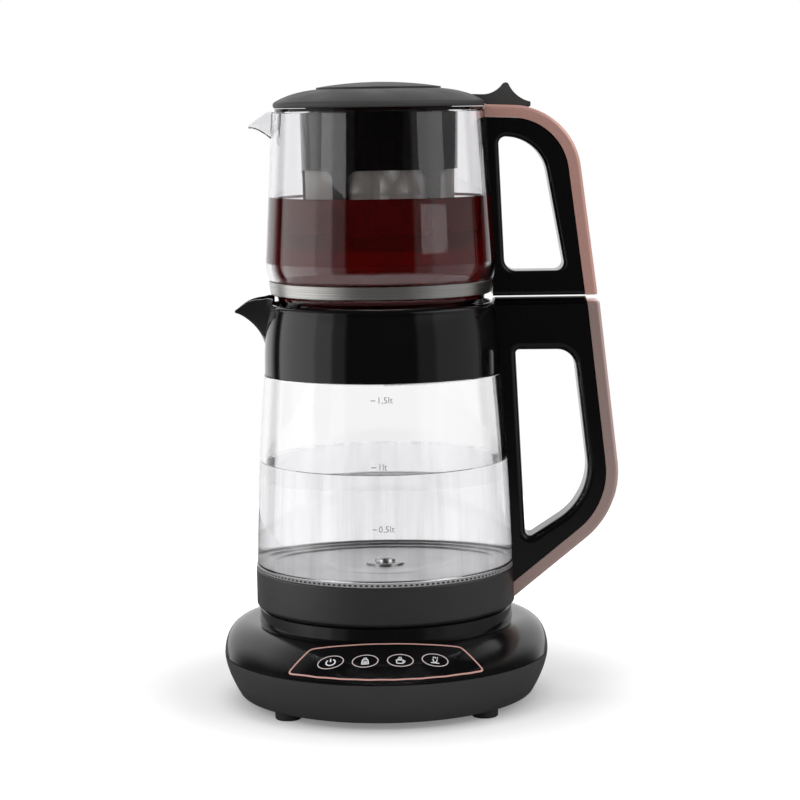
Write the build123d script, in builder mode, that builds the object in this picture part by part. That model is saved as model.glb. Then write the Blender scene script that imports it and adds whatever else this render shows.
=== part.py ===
"""Electric tea maker: a heated base, a glass kettle, a glass teapot on top of it and a hinged lid.

Millimetres, +Z up. The origin is on the table, under the axis that kettle and teapot share.
The controls face -Y, the handles point to +X and the spouts to -X.
"""

from build123d import *
from math import cos, radians, sin
import os

# ------------------------------------------------------------------ driving dimensions

# clearances
seat_gap = 0.1            # between parts that are clipped, glued or screwed together
moving_gap = 0.3          # between a part that lifts off or turns and its neighbour
pin_gap = 0.05            # radial play of the lid's knuckle on its pin

# base, an oval dish that reaches further forward than back
base_half_width = 93.0
base_front = 110.0
base_rear = 82.0
base_wall = 2.6
foot_height = 4.2         # table to underside
seam_height = 27.0        # joint between the two shells
seam_width = 0.5
base_draft = 8.5          # how much narrower the underside is, all round
shoulder_height = 43.3    # where the cover meets the kettle's seat
deck_height = 50.6        # flat ring that carries the kettle
deck_dip = 4.0            # the middle of the seat lies lower
foot_radius = 7.5
foot_across = 54.6
foot_along = 56.5
foot_recess = 1.2
screw_across = 40.0
screw_along = 56.0

# control panel
panel_front_half = 56.5
panel_rear_half = 43.0
panel_front_edge = 107.3  # at the middle, from the kettle's axis
panel_corner_edge = 88.2
panel_rear_edge = 75.2
panel_rear_corner = 72.6
panel_thickness = 1.6
panel_proud = 0.25
key_inner = 9.6           # touch keys, from the middle
key_outer = 28.6
key_edge = 91.0           # touch keys, in front of the kettle's axis

# power coupler
coupler_radius = 17.0
coupler_flange = 26.0
coupler_height = 10.5
coupler_groove = 11.5
coupler_core = 7.5
coupler_pin = 3.0

# kettle
skirt_radius = 74.8
skirt_wall = 2.4
skirt_bottom = deck_height + 0.7
skirt_top = 73.5
glass_foot_radius = skirt_radius - 0.8
glass_foot_height = 76.0
glass_wall = 3.2
collar_radius = 67.8
collar_bottom = 186.0
collar_top = 226.0
collar_wall = 1.7         # where it grips the glass
collar_lip = 2.4          # height of the bead round its top
glass_proud = 0.4         # the glass stands out past the collar at the joint
glass_round = 1.2         # rounding of the glass's shoulder there
glass_neck_top = 203.0
neck_wall = 2.4
gasket_thickness = 1.5
mouth_radius = collar_radius - 18.3
ledge_thickness = 2.2
ledge_depth = 4.0         # the teapot stands this far below the collar's top
plate_play = 0.5          # between the heater plate's rim and the glass
plate_radius = glass_foot_radius - glass_wall - plate_play
plate_thickness = 0.8
plate_floor = 74.0        # top of the heater plate's flat
plate_rim = glass_foot_height + plate_thickness
plate_flat = plate_radius - 12.3  # radius of the flat, inside the stepped rings

# teapot
teapot_bottom = collar_top - ledge_depth
teapot_neck_radius = collar_radius - 8.3
teapot_foot_radius = teapot_neck_radius - 8.5
teapot_belly_radius = 65.8
teapot_belly_height = 250.7
teapot_rim_radius = 60.9
teapot_rim = 335.0
teapot_wall = 2.8
band_bottom = 231.7
band_top = 239.0
band_wall = 0.9

# infuser
basket_radius = teapot_rim_radius - 15.9
basket_taper = 1.0
basket_wall = 1.8
basket_bottom = 257.0
basket_flange = teapot_rim_radius - 1.5
flange_thickness = 1.7
window_count = 5
window_turn = 7.0         # the front window's angle from straight ahead
window_width = 43.6
window_bottom = 266.0
window_top = 302.0
window_corner = 5.0
mesh_thickness = 0.4

# handles, drawn in the plane of the spouts and handles
handle_half = 12.0
trim_half = 12.5
trim_depth = 7.0
trim_edge = 2.2
trim_end = 1.2
grip_bevel = 4.0
teapot_grip_bevel = 3.2
kettle_trim_top = 225.6
kettle_handle_top = 224.3
handle_top_round = 1.4
cap_crown = 227.8         # top of the domed cap on the kettle's handle
teapot_handle_bottom = 229.3
teapot_handle_top = teapot_rim + 2.9
handle_bottom_round = 2.4

# lid
lid_radius = teapot_rim_radius - 0.6
lid_rim_height = 4.0
lid_shoulder = teapot_rim + 12.3  # height where the dome meets the disc's step
lid_top = lid_shoulder + 3.9
lid_wall = 2.2
disc_radius = lid_radius - 24.3
plug_play = 1.6           # between the lid's plug and the basket
plug_radius = basket_radius - basket_wall - plug_play
plug_bottom = teapot_rim - 1.8
tab_half = 5.5
tab_peak = lid_shoulder + 2.6
hinge_x = teapot_rim_radius + 19.1
hinge_z = teapot_rim - 1.0
hinge_pin_radius = 1.5
knuckle_radius = 3.4

os.makedirs("parts", exist_ok=True)

shoulder_radius = skirt_radius - 0.8


def finish(builder, name):
    """Label a finished piece and write it."""
    builder.part.label = name
    export_step(builder.part, f"parts/{name}.step")


# ------------------------------------------------------------------ shared outlines

def oval(height, half_width, front, rear):
    """A level oval whose front and rear reach differently far from the kettle's axis."""
    with BuildSketch(Plane.XY.offset(height)) as outline:
        with Locations((0, (rear - front) / 2)):
            Ellipse(half_width, (rear + front) / 2)
    return outline.sketch


def cover_oval(height, inset=0.0):
    """The cover's outline at a height: full at the rim, round at the shoulder.

    Its sides and back bulge up quickly; its front slopes, to turn the keys to the user.
    """
    rise = (height - seam_height) / (shoulder_height - seam_height)
    bulge = (1 - rise**2.5) ** 0.4
    slope = (1 - rise**1.08) ** (1 / 1.08)
    half_width = shoulder_radius + (base_half_width - shoulder_radius) * bulge
    front = shoulder_radius + (base_front - shoulder_radius) * slope
    rear = shoulder_radius + (base_rear - shoulder_radius) * bulge
    return oval(height, half_width - inset, front - inset, rear - inset)


def bowl_oval(height, inset=0.0):
    """The lower shell's outline at a height, drawn in towards the underside."""
    fall = (seam_height - height) / (seam_height - foot_height)
    draft = base_draft * fall**1.6 + inset
    return oval(height, base_half_width - draft, base_front - draft, base_rear - draft)


def cover_stack(inset=0.0, drop=0.0):
    """Ovals from the rim to the shoulder, closer together where the form turns in."""
    turns = 7
    span = shoulder_height - seam_height
    ovals = []
    for turn in range(turns + 1):
        height = seam_height + span * sin(radians(90 * turn / turns))
        ovals.append(Pos(0, 0, -drop) * cover_oval(height, inset))
    return ovals


def bowl_stack(bottom, inset=0.0):
    """Ovals from a bottom height to the seam."""
    steps = 5
    span = seam_height - bottom
    return [bowl_oval(bottom + span * step / steps, inset) for step in range(steps + 1)]


def spout_section(x, half_width, top, bottom):
    """A spout's cross-section: flat above, hanging down in a parabola."""
    with BuildSketch(Plane.YZ.offset(x)) as section:
        with BuildLine():
            Bezier((half_width, top), (0, 2 * bottom - top), (-half_width, top))
            Line((-half_width, top), (half_width, top))
        make_face()
    return section.sketch


def parallel(points, distance):
    """A polyline moved sideways, to the right of its direction, by a distance."""
    moved = []
    for index, (x, z) in enumerate(points):
        before = points[max(index - 1, 0)]
        after = points[min(index + 1, len(points) - 1)]
        way_in = Vector(x - before[0], z - before[1])
        way_out = Vector(after[0] - x, after[1] - z)
        if index == 0:
            way_in = way_out
        if index == len(points) - 1:
            way_out = way_in
        normal_in = Vector(way_in.Y, -way_in.X).normalized()
        normal_out = Vector(way_out.Y, -way_out.X).normalized()
        middle = (normal_in + normal_out).normalized()
        step = middle * (distance / middle.dot(normal_in))
        moved.append((x + step.X, z + step.Y))
    return moved


# ------------------------------------------------------------------ base: shells

screw_places = [(x, base_y + y) for base_y in [(base_rear - base_front) / 2]
                for x in (-screw_across, screw_across) for y in (-screw_along, screw_along)]
boss_radius = 4.6
screw_radius = 1.5
screw_head_radius = 3.0
screw_head_height = 2.2
screw_head_recess = 3.6
boss_top = 24.0
floor_top = foot_height + base_wall
gland_height = 15.0
gland_radius = 7.0
gland_bore = 3.4
foot_places = {
    "foot_front_left": (-foot_across, (base_rear - base_front) / 2 - foot_along),
    "foot_front_right": (foot_across, (base_rear - base_front) / 2 - foot_along),
    "foot_rear_left": (-foot_across, (base_rear - base_front) / 2 + foot_along),
    "foot_rear_right": (foot_across, (base_rear - base_front) / 2 + foot_along),
}
lip_inset = base_wall / 2
lip_drop = 2.0

with BuildPart() as base_lower_shell:
    loft(bowl_stack(foot_height))
    fillet(base_lower_shell.faces().sort_by(Axis.Z)[0].edges(), 1.4)
    loft(bowl_stack(floor_top, base_wall), mode=Mode.SUBTRACT)
    # rebate for the cover's lip
    with BuildSketch(Plane.XY.offset(seam_height - lip_drop)):
        add(bowl_oval(seam_height - lip_drop, lip_inset - seat_gap))
    extrude(amount=lip_drop, mode=Mode.SUBTRACT)
    # screw bosses with counterbores from below
    with BuildSketch(Plane.XY.offset(floor_top)):
        with Locations(*screw_places):
            Circle(boss_radius)
    extrude(amount=boss_top - floor_top)
    with BuildSketch(Plane.XY.offset(foot_height)):
        with Locations(*screw_places):
            Circle(screw_head_radius + 0.5)
    extrude(amount=screw_head_recess, mode=Mode.SUBTRACT)
    with BuildSketch(Plane.XY.offset(foot_height)):
        with Locations(*screw_places):
            Circle(screw_radius + seat_gap)
    extrude(amount=boss_top - foot_height, mode=Mode.SUBTRACT)
    # foot pockets
    with BuildSketch(Plane.XY.offset(foot_height)):
        with Locations(*foot_places.values()):
            Circle(foot_radius + seat_gap)
    extrude(amount=foot_recess, mode=Mode.SUBTRACT)
    # inlet for the mains lead
    with BuildSketch(Plane.XZ.offset(-base_rear + 12)):
        with Locations((0, gland_height)):
            Circle(gland_radius + seat_gap)
    extrude(amount=-24, mode=Mode.SUBTRACT)
finish(base_lower_shell, "base_lower_shell")

for foot_name, place in foot_places.items():
    with BuildPart() as foot:
        with BuildSketch(Plane.XY.offset(foot_height + foot_recess)):
            with Locations(place):
                Circle(foot_radius)
        extrude(amount=-(foot_height + foot_recess), taper=2)
        chamfer(foot.faces().sort_by(Axis.Z)[0].edges(), 0.6)
    finish(foot, foot_name)

panel_depth = panel_thickness - panel_proud


def panel_outline(grow=0.0):
    """The panel's outline seen from above: bowed front, slanted sides, nearly straight back."""
    with BuildSketch(Plane.XY.offset(foot_height)) as outline:
        with BuildLine():
            front = ThreePointArc(
                (-panel_front_half, -panel_corner_edge),
                (0, -panel_front_edge),
                (panel_front_half, -panel_corner_edge),
            )
            back = ThreePointArc(
                (panel_rear_half, -panel_rear_corner),
                (0, -panel_rear_edge),
                (-panel_rear_half, -panel_rear_corner),
            )
            Line(front @ 1, back @ 0)
            Line(back @ 1, front @ 0)
        make_face()
        if grow > 0:
            offset(amount=grow)
    return outline.sketch


seat_profile = [
    (0, seam_height + 8),
    (shoulder_radius - 0.6, seam_height + 8),
    (shoulder_radius - 0.6, shoulder_height),
    (skirt_radius - 2.0, deck_height - 0.8),
    (skirt_radius - 2.8, deck_height),
    (0, deck_height),
]
dip_radius = skirt_radius - 10.8
dip_floor = deck_height - deck_dip
seat_wall = 2.2
board_tilt = 21.0
board_size = (84.0, 18.0)
board_shift = 2.0         # towards the back, up the slope
board_thickness = 1.6
board_drop = 10.5         # below the panel's face, square to it
board_middle = (0, -key_edge, 36.2)
board_plane = Plane(
    origin=board_middle,
    x_dir=(1, 0, 0),
    z_dir=(0, -sin(radians(board_tilt)), cos(radians(board_tilt))),
)
board_post_radius = 3.0
board_post_places = [(x, board_shift) for x in (5 - board_size[0] / 2, board_size[0] / 2 - 5)]
key_places = [(-key_outer, 0), (-key_inner, 0), (key_inner, 0), (key_outer, 0)]

with BuildPart() as cover_outside:
    loft(cover_stack())

with BuildPart() as cover_inside:
    loft(cover_stack(inset=base_wall, drop=base_wall))

with BuildPart() as panel_bed:
    loft(cover_stack(drop=panel_thickness - panel_proud))

with BuildPart() as cover_posts:
    with BuildSketch(board_plane.offset(-board_drop)):
        with Locations(*board_post_places):
            Circle(board_post_radius)
    extrude(amount=2 * board_drop)
    with BuildSketch(Plane.XY.offset(boss_top)):
        with Locations(*screw_places):
            Circle(boss_radius)
    extrude(amount=deck_height - boss_top)
    add(panel_bed.part, mode=Mode.INTERSECT)

with BuildPart() as panel_pocket:
    with BuildSketch(Plane.XY.offset(seam_height - 5)):
        add(panel_outline(seat_gap))
    extrude(amount=deck_height - seam_height)
    add(panel_bed.part, mode=Mode.SUBTRACT)

with BuildPart() as base_top_cover:
    add(cover_outside.part)
    # the seam stays open in front of the lip that locates the cover
    with BuildSketch(Plane.XY.offset(seam_height)):
        add(cover_oval(seam_height, -1))
        add(cover_oval(seam_height, lip_inset), mode=Mode.SUBTRACT)
    extrude(amount=seam_width, mode=Mode.SUBTRACT)
    with BuildSketch(Plane.XY.offset(seam_height - lip_drop)):
        add(bowl_oval(seam_height - lip_drop, lip_inset))
    extrude(amount=lip_drop)
    # the kettle's seat
    with BuildSketch(Plane.XZ):
        with BuildLine():
            Polyline(*seat_profile, close=True)
        make_face()
    revolve(axis=Axis.Z)
    with BuildSketch(Plane.XY.offset(deck_height)):
        Circle(dip_radius)
    extrude(amount=-deck_dip, taper=12, mode=Mode.SUBTRACT)
    # hollow underneath
    with BuildSketch(Plane.XY.offset(seam_height - lip_drop)):
        add(bowl_oval(seam_height - lip_drop, base_wall))
    extrude(amount=lip_drop, mode=Mode.SUBTRACT)
    add(cover_inside.part, mode=Mode.SUBTRACT)
    with BuildSketch(Plane.XY.offset(seam_height)):
        Circle(dip_radius - seat_wall)
    extrude(amount=dip_floor - seat_wall - seam_height, mode=Mode.SUBTRACT)
    with BuildSketch(Plane.XY.offset(seam_height)):
        Circle(shoulder_radius - 2 * seat_wall)
        Circle(dip_radius + seat_wall / 2, mode=Mode.SUBTRACT)
    extrude(amount=deck_height - seat_wall - seam_height, mode=Mode.SUBTRACT)
    # posts for the control board and for the screws, up into the cover
    add(cover_posts.part)
    with BuildSketch(Plane.XY.offset(boss_top)):
        with Locations(*screw_places):
            Circle(screw_radius)
    extrude(amount=8, mode=Mode.SUBTRACT)
    # pocket for the control panel
    add(panel_pocket.part, mode=Mode.SUBTRACT)
    # hole for the power coupler
    with BuildSketch(Plane.XY.offset(seam_height)):
        Circle(coupler_radius + seat_gap)
    extrude(amount=deck_height - seam_height, mode=Mode.SUBTRACT)
finish(base_top_cover, "base_top_cover")

with BuildPart() as control_panel:
    add(Pos(0, 0, panel_proud) * cover_outside.part)
    with BuildSketch(Plane.XY.offset(seam_height - 5)):
        add(panel_outline())
    extrude(amount=deck_height - seam_height, mode=Mode.INTERSECT)
    add(Pos(0, 0, seat_gap) * panel_bed.part, mode=Mode.SUBTRACT)
finish(control_panel, "control_panel")

# ------------------------------------------------------------------ base: inside

led_size = (2.4, 1.6, 1.2)
sensor_radius = 4.5
speaker_radius = 9.0
speaker_height = 5.0
speaker_place = (0, -28.0)

with BuildPart() as control_board:
    with BuildSketch(board_plane.offset(-board_drop)):
        with Locations((0, board_shift)):
            RectangleRounded(*board_size, 2)
    extrude(amount=-board_thickness)
    # controller chip and connector underneath
    with BuildSketch(board_plane.offset(-board_drop - board_thickness)):
        with Locations((-12, 0)):
            Rectangle(12, 12)
        with Locations((22, -3)):
            Rectangle(14, 6)
    extrude(amount=-1.8)
finish(control_board, "control_board")

with BuildPart() as touch_sensors:
    with BuildSketch(board_plane.offset(-board_drop)):
        with Locations(*key_places):
            Circle(sensor_radius)
    extrude(amount=board_drop)
    add(Pos(0, 0, -seat_gap) * cover_inside.part, mode=Mode.INTERSECT)
finish(touch_sensors, "touch_sensors")

with BuildPart() as status_leds:
    with BuildSketch(board_plane.offset(-board_drop)):
        with Locations(*[(x, y - sensor_radius - led_size[1]) for x, y in key_places]):
            Rectangle(led_size[0], led_size[1])
    extrude(amount=led_size[2])
finish(status_leds, "status_leds")

with BuildPart() as speaker:
    with BuildSketch(Plane.XY.offset(floor_top)):
        with Locations(speaker_place):
            Circle(speaker_radius)
    extrude(amount=speaker_height)
    with BuildSketch(Plane.XY.offset(floor_top + speaker_height)):
        with Locations(speaker_place):
            Circle(1.2)
    extrude(amount=-2, mode=Mode.SUBTRACT)
    chamfer(speaker.edges().filter_by(GeomType.CIRCLE).sort_by(Axis.Z)[-2:], 0.5)
finish(speaker, "speaker")

screw_length = 16.0

with BuildPart() as base_screws:
    with BuildSketch(Plane.XY.offset(foot_height + screw_head_recess)):
        with Locations(*screw_places):
            Circle(screw_head_radius)
    extrude(amount=-screw_head_height, taper=8)
    with BuildSketch(Plane.XY.offset(foot_height + screw_head_recess)):
        with Locations(*screw_places):
            Circle(screw_radius)
    extrude(amount=boss_top + 6 - foot_height - screw_head_recess)
finish(base_screws, "base_screws")

gland_inside = base_rear - 14
with BuildPart() as cord_gland:
    with BuildSketch(Plane.XZ.offset(-gland_inside)):
        with Locations((0, gland_height)):
            Circle(gland_radius)
    extrude(amount=-(base_rear - 2.0 - gland_inside))
    with BuildSketch(Plane.XZ.offset(-gland_inside)):
        with Locations((0, gland_height)):
            Circle(gland_radius + 1)
    extrude(amount=-3.0)
    with BuildSketch(Plane.XZ.offset(-gland_inside)):
        with Locations((0, gland_height)):
            Circle(gland_bore)
    extrude(amount=-20, mode=Mode.SUBTRACT)
    fillet(cord_gland.edges().filter_by(GeomType.CIRCLE).sort_by(Axis.Y)[-1], 0.8)
finish(cord_gland, "cord_gland")

coupler_top = dip_floor + coupler_height
coupler_body_bottom = dip_floor - 16.0

with BuildPart() as power_coupler:
    with BuildSketch(Plane.XY.offset(coupler_body_bottom)):
        Circle(coupler_radius)
    extrude(amount=coupler_top - coupler_body_bottom)
    fillet(power_coupler.edges().sort_by(Axis.Z)[-1], 1.5)
    with BuildSketch(Plane.XY.offset(dip_floor)):
        Circle(coupler_flange)
        Circle(coupler_radius - 1, mode=Mode.SUBTRACT)
    extrude(amount=1.6)
    # ring-shaped slot round the core, and the bore for the middle pin
    with BuildSketch(Plane.XY.offset(coupler_top)):
        Circle(coupler_groove)
        Circle(coupler_core, mode=Mode.SUBTRACT)
    extrude(amount=-coupler_height, mode=Mode.SUBTRACT)
    with BuildSketch(Plane.XY.offset(coupler_top)):
        Circle(coupler_pin)
    extrude(amount=-coupler_height, mode=Mode.SUBTRACT)
finish(power_coupler, "power_coupler")

contact_wall = 0.6
with BuildPart() as coupler_contacts:
    with BuildSketch(Plane.XY.offset(coupler_top - coupler_height)):
        Circle(coupler_core + contact_wall + seat_gap)
        Circle(coupler_core + seat_gap, mode=Mode.SUBTRACT)
        Circle(coupler_groove - seat_gap)
        Circle(coupler_groove - seat_gap - contact_wall, mode=Mode.SUBTRACT)
    extrude(amount=coupler_height - 2)
finish(coupler_contacts, "coupler_contacts")

# ------------------------------------------------------------------ kettle: foot and heater

shelf_thickness = 2.0     # the skirt's inner shelf, under the seal
shelf_radius = glass_foot_radius - 7.0
bottom_cover_thickness = 2.0
kettle_seat_outer = skirt_radius - 3.8
kettle_seat_inner = kettle_seat_outer - 4.5
kettle_screw_ring = kettle_seat_inner - 5.5
kettle_screw_count = 3
kettle_screw_turn = 60.0
kettle_boss_top = 66.0
skirt_inner = skirt_radius - skirt_wall
skirt_round = 2.4

with BuildPart() as kettle_skirt:
    with BuildSketch(Plane.XZ):
        with BuildLine():
            Polyline(
                (skirt_inner, skirt_bottom),
                (skirt_radius, skirt_bottom),
                (skirt_radius, skirt_top),
                (shelf_radius, skirt_top),
                (shelf_radius, skirt_top - shelf_thickness),
                (skirt_inner, skirt_top - shelf_thickness),
                close=True,
            )
        make_face()
    revolve(axis=Axis.Z)
    fillet(kettle_skirt.edges().filter_by(GeomType.CIRCLE).sort_by(SortBy.RADIUS)[-2:]
           .sort_by(Axis.Z)[0], skirt_round - 0.1)
    fillet(kettle_skirt.edges().filter_by(GeomType.CIRCLE).sort_by(SortBy.RADIUS)[-2:]
           .sort_by(Axis.Z)[-1], 0.8)
finish(kettle_skirt, "kettle_skirt")

with BuildPart() as kettle_bottom_cover:
    with BuildSketch(Plane.XY.offset(skirt_bottom)):
        Circle(skirt_inner - seat_gap)
    extrude(amount=bottom_cover_thickness)
    # ring that stands on the base's deck
    with BuildSketch(Plane.XY.offset(deck_height)):
        Circle(kettle_seat_outer)
        Circle(kettle_seat_inner, mode=Mode.SUBTRACT)
    extrude(amount=skirt_bottom - deck_height)
    # hole for the coupler socket
    with BuildSketch(Plane.XY.offset(skirt_bottom)):
        Circle(coupler_radius + 3.2)
    extrude(amount=bottom_cover_thickness, mode=Mode.SUBTRACT)
    with BuildSketch(Plane.XY.offset(skirt_bottom)):
        with PolarLocations(kettle_screw_ring, kettle_screw_count, start_angle=kettle_screw_turn):
            Circle(screw_radius + seat_gap)
    extrude(amount=bottom_cover_thickness, mode=Mode.SUBTRACT)
    with BuildSketch(Plane.XY.offset(skirt_bottom)):
        with PolarLocations(kettle_screw_ring, kettle_screw_count, start_angle=kettle_screw_turn):
            Circle(screw_head_radius + seat_gap)
    extrude(amount=1.2, mode=Mode.SUBTRACT)
finish(kettle_bottom_cover, "kettle_bottom_cover")

seal_inner = shelf_radius + 1.6
seal_outer = glass_foot_radius + 0.5

with BuildPart() as glass_seal:
    with BuildSketch(Plane.XY.offset(skirt_top)):
        Circle(seal_outer)
        Circle(seal_inner, mode=Mode.SUBTRACT)
    extrude(amount=glass_foot_height - skirt_top)
    fillet(glass_seal.edges().filter_by(GeomType.CIRCLE).sort_by(SortBy.RADIUS)[-2:], 0.6)
finish(glass_seal, "glass_seal")

plate_step = 30.0
plate_rise = 0.6          # the middle, round the probe, stands higher
plate_rings = [(plate_flat + 1, 0.9), (plate_flat + 5, 0.9), (plate_flat + 6, 1.9), (plate_flat + 9, 1.9)]
plate_profile = [
    (5.2, plate_floor + plate_rise),
    (plate_step, plate_floor + plate_rise),
    (plate_step + 2, plate_floor),
    (plate_flat, plate_floor),
    *[(radius, plate_floor + rise) for radius, rise in plate_rings],
    (plate_flat + 10, plate_rim),
    (plate_radius, plate_rim),
]

with BuildPart() as heater_plate:
    with BuildSketch(Plane.XZ):
        with BuildLine():
            Polyline(
                *plate_profile,
                *[(radius, height - plate_thickness) for radius, height in reversed(plate_profile)],
                close=True,
            )
        make_face()
    revolve(axis=Axis.Z)
finish(heater_plate, "heater_plate")

diffuser_radius = plate_flat - 1.0
diffuser_thickness = 2.8
diffuser_top = plate_floor - plate_thickness
tube_ring = diffuser_radius - 13.0
tube_radius = 4.0
tube_sweep = 310.0
tube_height = diffuser_top - diffuser_thickness - tube_radius + 0.8

with BuildPart() as heating_element:
    with BuildSketch(Plane.XY.offset(diffuser_top)):
        Circle(diffuser_radius)
        Circle(plate_step + 3, mode=Mode.SUBTRACT)
    extrude(amount=-diffuser_thickness)
    with BuildSketch(Plane.XZ):
        with Locations((tube_ring, tube_height)):
            Circle(tube_radius)
    revolve(axis=Axis.Z, revolution_arc=tube_sweep)
finish(heating_element, "heating_element")

control_radius = 27.0
control_bottom = 60.6
probe_seat = plate_floor + plate_rise
control_top = probe_seat - plate_thickness - seat_gap

with BuildPart() as sensor_probe:
    with BuildSketch(Plane.XZ):
        with BuildLine():
            Polyline(
                (0, control_top),
                (4.8, control_top),
                (4.8, probe_seat + seat_gap),
                (10, probe_seat + seat_gap),
                (10, probe_seat + 1.0),
                (8.6, probe_seat + 1.6),
                (5.6, probe_seat + 1.6),
                (5.2, probe_seat + 3.0),
            )
            TangentArc((0, probe_seat + 4.4), (5.2, probe_seat + 3.0), tangent=(1, 0))
            Line((0, probe_seat + 4.4), (0, control_top))
        make_face()
    revolve(axis=Axis.Z)
finish(sensor_probe, "sensor_probe")

with BuildPart() as thermostat_block:
    with BuildSketch(Plane.XY.offset(control_bottom)):
        Circle(control_radius)
    extrude(amount=6)
    with BuildSketch(Plane.XY.offset(control_bottom + 6)):
        Circle(control_radius - 4)
    extrude(amount=control_top - seat_gap - control_bottom - 6)
    fillet(thermostat_block.edges().filter_by(GeomType.CIRCLE).sort_by(Axis.Z)[1], 1)
finish(thermostat_block, "thermostat_block")

socket_wall = 1.8
socket_inner = coupler_radius + 0.6
socket_ceiling = coupler_top + 0.6
with BuildPart() as coupler_socket:
    with BuildSketch(Plane.XY.offset(skirt_bottom + 0.4)):
        Circle(socket_inner + socket_wall)
    extrude(amount=control_bottom - seat_gap - skirt_bottom - 0.4)
    with BuildSketch(Plane.XY.offset(skirt_bottom + bottom_cover_thickness + seat_gap)):
        Circle(socket_inner + socket_wall + 5)
    extrude(amount=1.6)
    with BuildSketch(Plane.XY.offset(skirt_bottom)):
        Circle(socket_inner)
    extrude(amount=socket_ceiling - skirt_bottom, mode=Mode.SUBTRACT)
    # sleeve that enters the coupler's ring slot
    with BuildSketch(Plane.XY.offset(socket_ceiling)):
        Circle(coupler_groove - 1.4)
        Circle(coupler_core + 1.4, mode=Mode.SUBTRACT)
    extrude(amount=-(socket_ceiling - skirt_bottom - 1))
finish(coupler_socket, "coupler_socket")

with BuildPart() as socket_contacts:
    with BuildSketch(Plane.XY.offset(socket_ceiling - seat_gap)):
        Circle(coupler_pin - 0.5)
    extrude(amount=-(socket_ceiling - skirt_bottom - 2))
    fillet(socket_contacts.edges().sort_by(Axis.Z)[0], 0.8)
finish(socket_contacts, "socket_contacts")

with BuildPart() as kettle_screws:
    with BuildSketch(Plane.XY.offset(skirt_bottom + 1.2)):
        with PolarLocations(kettle_screw_ring, kettle_screw_count, start_angle=kettle_screw_turn):
            Circle(screw_head_radius)
    extrude(amount=-1.1)
    with BuildSketch(Plane.XY.offset(skirt_bottom + 1.2)):
        with PolarLocations(kettle_screw_ring, kettle_screw_count, start_angle=kettle_screw_turn):
            Circle(screw_radius)
    extrude(amount=9)
finish(kettle_screws, "kettle_screws")

# ------------------------------------------------------------------ kettle: glass and collar

neck_outer = collar_radius - collar_wall - seat_gap
neck_inner = neck_outer - neck_wall
glass_lip_radius = collar_radius + glass_proud
waist = (collar_radius + 3.7, glass_foot_height + 62)

with BuildPart() as kettle_glass:
    with BuildSketch(Plane.XZ):
        with BuildLine():
            outside = ThreePointArc(
                (glass_foot_radius, glass_foot_height + 0.4),
                waist,
                (glass_lip_radius, collar_bottom - glass_round),
            )
            shoulder = TangentArc(
                outside @ 1,
                (glass_lip_radius - glass_round, collar_bottom - seat_gap),
                tangent=outside % 1,
            )
            neck = Polyline(
                shoulder @ 1,
                (neck_outer, collar_bottom - seat_gap),
                (neck_outer, glass_neck_top),
                (neck_inner, glass_neck_top),
                (glass_lip_radius - glass_wall, collar_bottom - 2),
            )
            inside = ThreePointArc(
                neck @ 1,
                (waist[0] - glass_wall, waist[1]),
                (glass_foot_radius - glass_wall, glass_foot_height + 0.4),
            )
            Polyline(
                inside @ 1,
                (glass_foot_radius - glass_wall + 0.4, glass_foot_height),
                (glass_foot_radius - 0.4, glass_foot_height),
                outside @ 0,
            )
        make_face()
    revolve(axis=Axis.Z)
finish(kettle_glass, "kettle_glass")

with BuildPart() as collar_gasket:
    with BuildSketch(Plane.XY.offset(glass_neck_top)):
        Circle(neck_outer - seat_gap)
        Circle(neck_inner, mode=Mode.SUBTRACT)
    extrude(amount=gasket_thickness)
finish(collar_gasket, "collar_gasket")

collar_inner_top = collar_radius - 5.6
collar_shoulder = collar_radius - 3.1
lip_radius = collar_radius - 2.9
groove_depth = 0.5        # thin groove under the bead
groove_height = 0.6
groove_bottom = collar_top - collar_lip - groove_height
ledge_top = teapot_bottom
ledge_bottom = ledge_top - ledge_thickness
gasket_space = glass_neck_top + gasket_thickness + seat_gap
kettle_spout = [
    # x, half width, top, bottom, thickness of the floor
    (5.8 - collar_radius, 16.8, collar_top + 3.5, collar_top - 36.0, 2.7),
    (0.4 - collar_radius, 13.3, collar_top + 3.3, collar_top - 23.4, 2.7),
    (-2.6 - collar_radius, 11.4, collar_top + 3.0, collar_top - 16.4, 2.7),
    (-7.5 - collar_radius, 8.2, collar_top + 1.9, collar_top - 10.6, 2.7),
    (-12.2 - collar_radius, 5.2, collar_top - 0.8, collar_top - 7.1, 2.0),
    (-16.4 - collar_radius, 2.6, collar_top - 3.8, collar_top - 5.3, 1.0),
]
channel_start = (17.8 - collar_radius, 18.1, collar_top + 3.5, collar_top - 29.0, 2.7)
channel_end = (-18.2 - collar_radius, 2.6, collar_top - 4.4, collar_top - 5.6, 1.0)
spout_headroom = 6.0      # the channel's sides go on up, so that it stays open on top

with BuildPart() as collar_spout:
    loft([spout_section(*station[:4]) for station in kettle_spout])

with BuildPart() as collar_channel:
    loft([
        spout_section(x, half_width, top + spout_headroom, bottom + floor)
        for x, half_width, top, bottom, floor in
        [channel_start] + kettle_spout[1:-1] + [channel_end]
    ])

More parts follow.
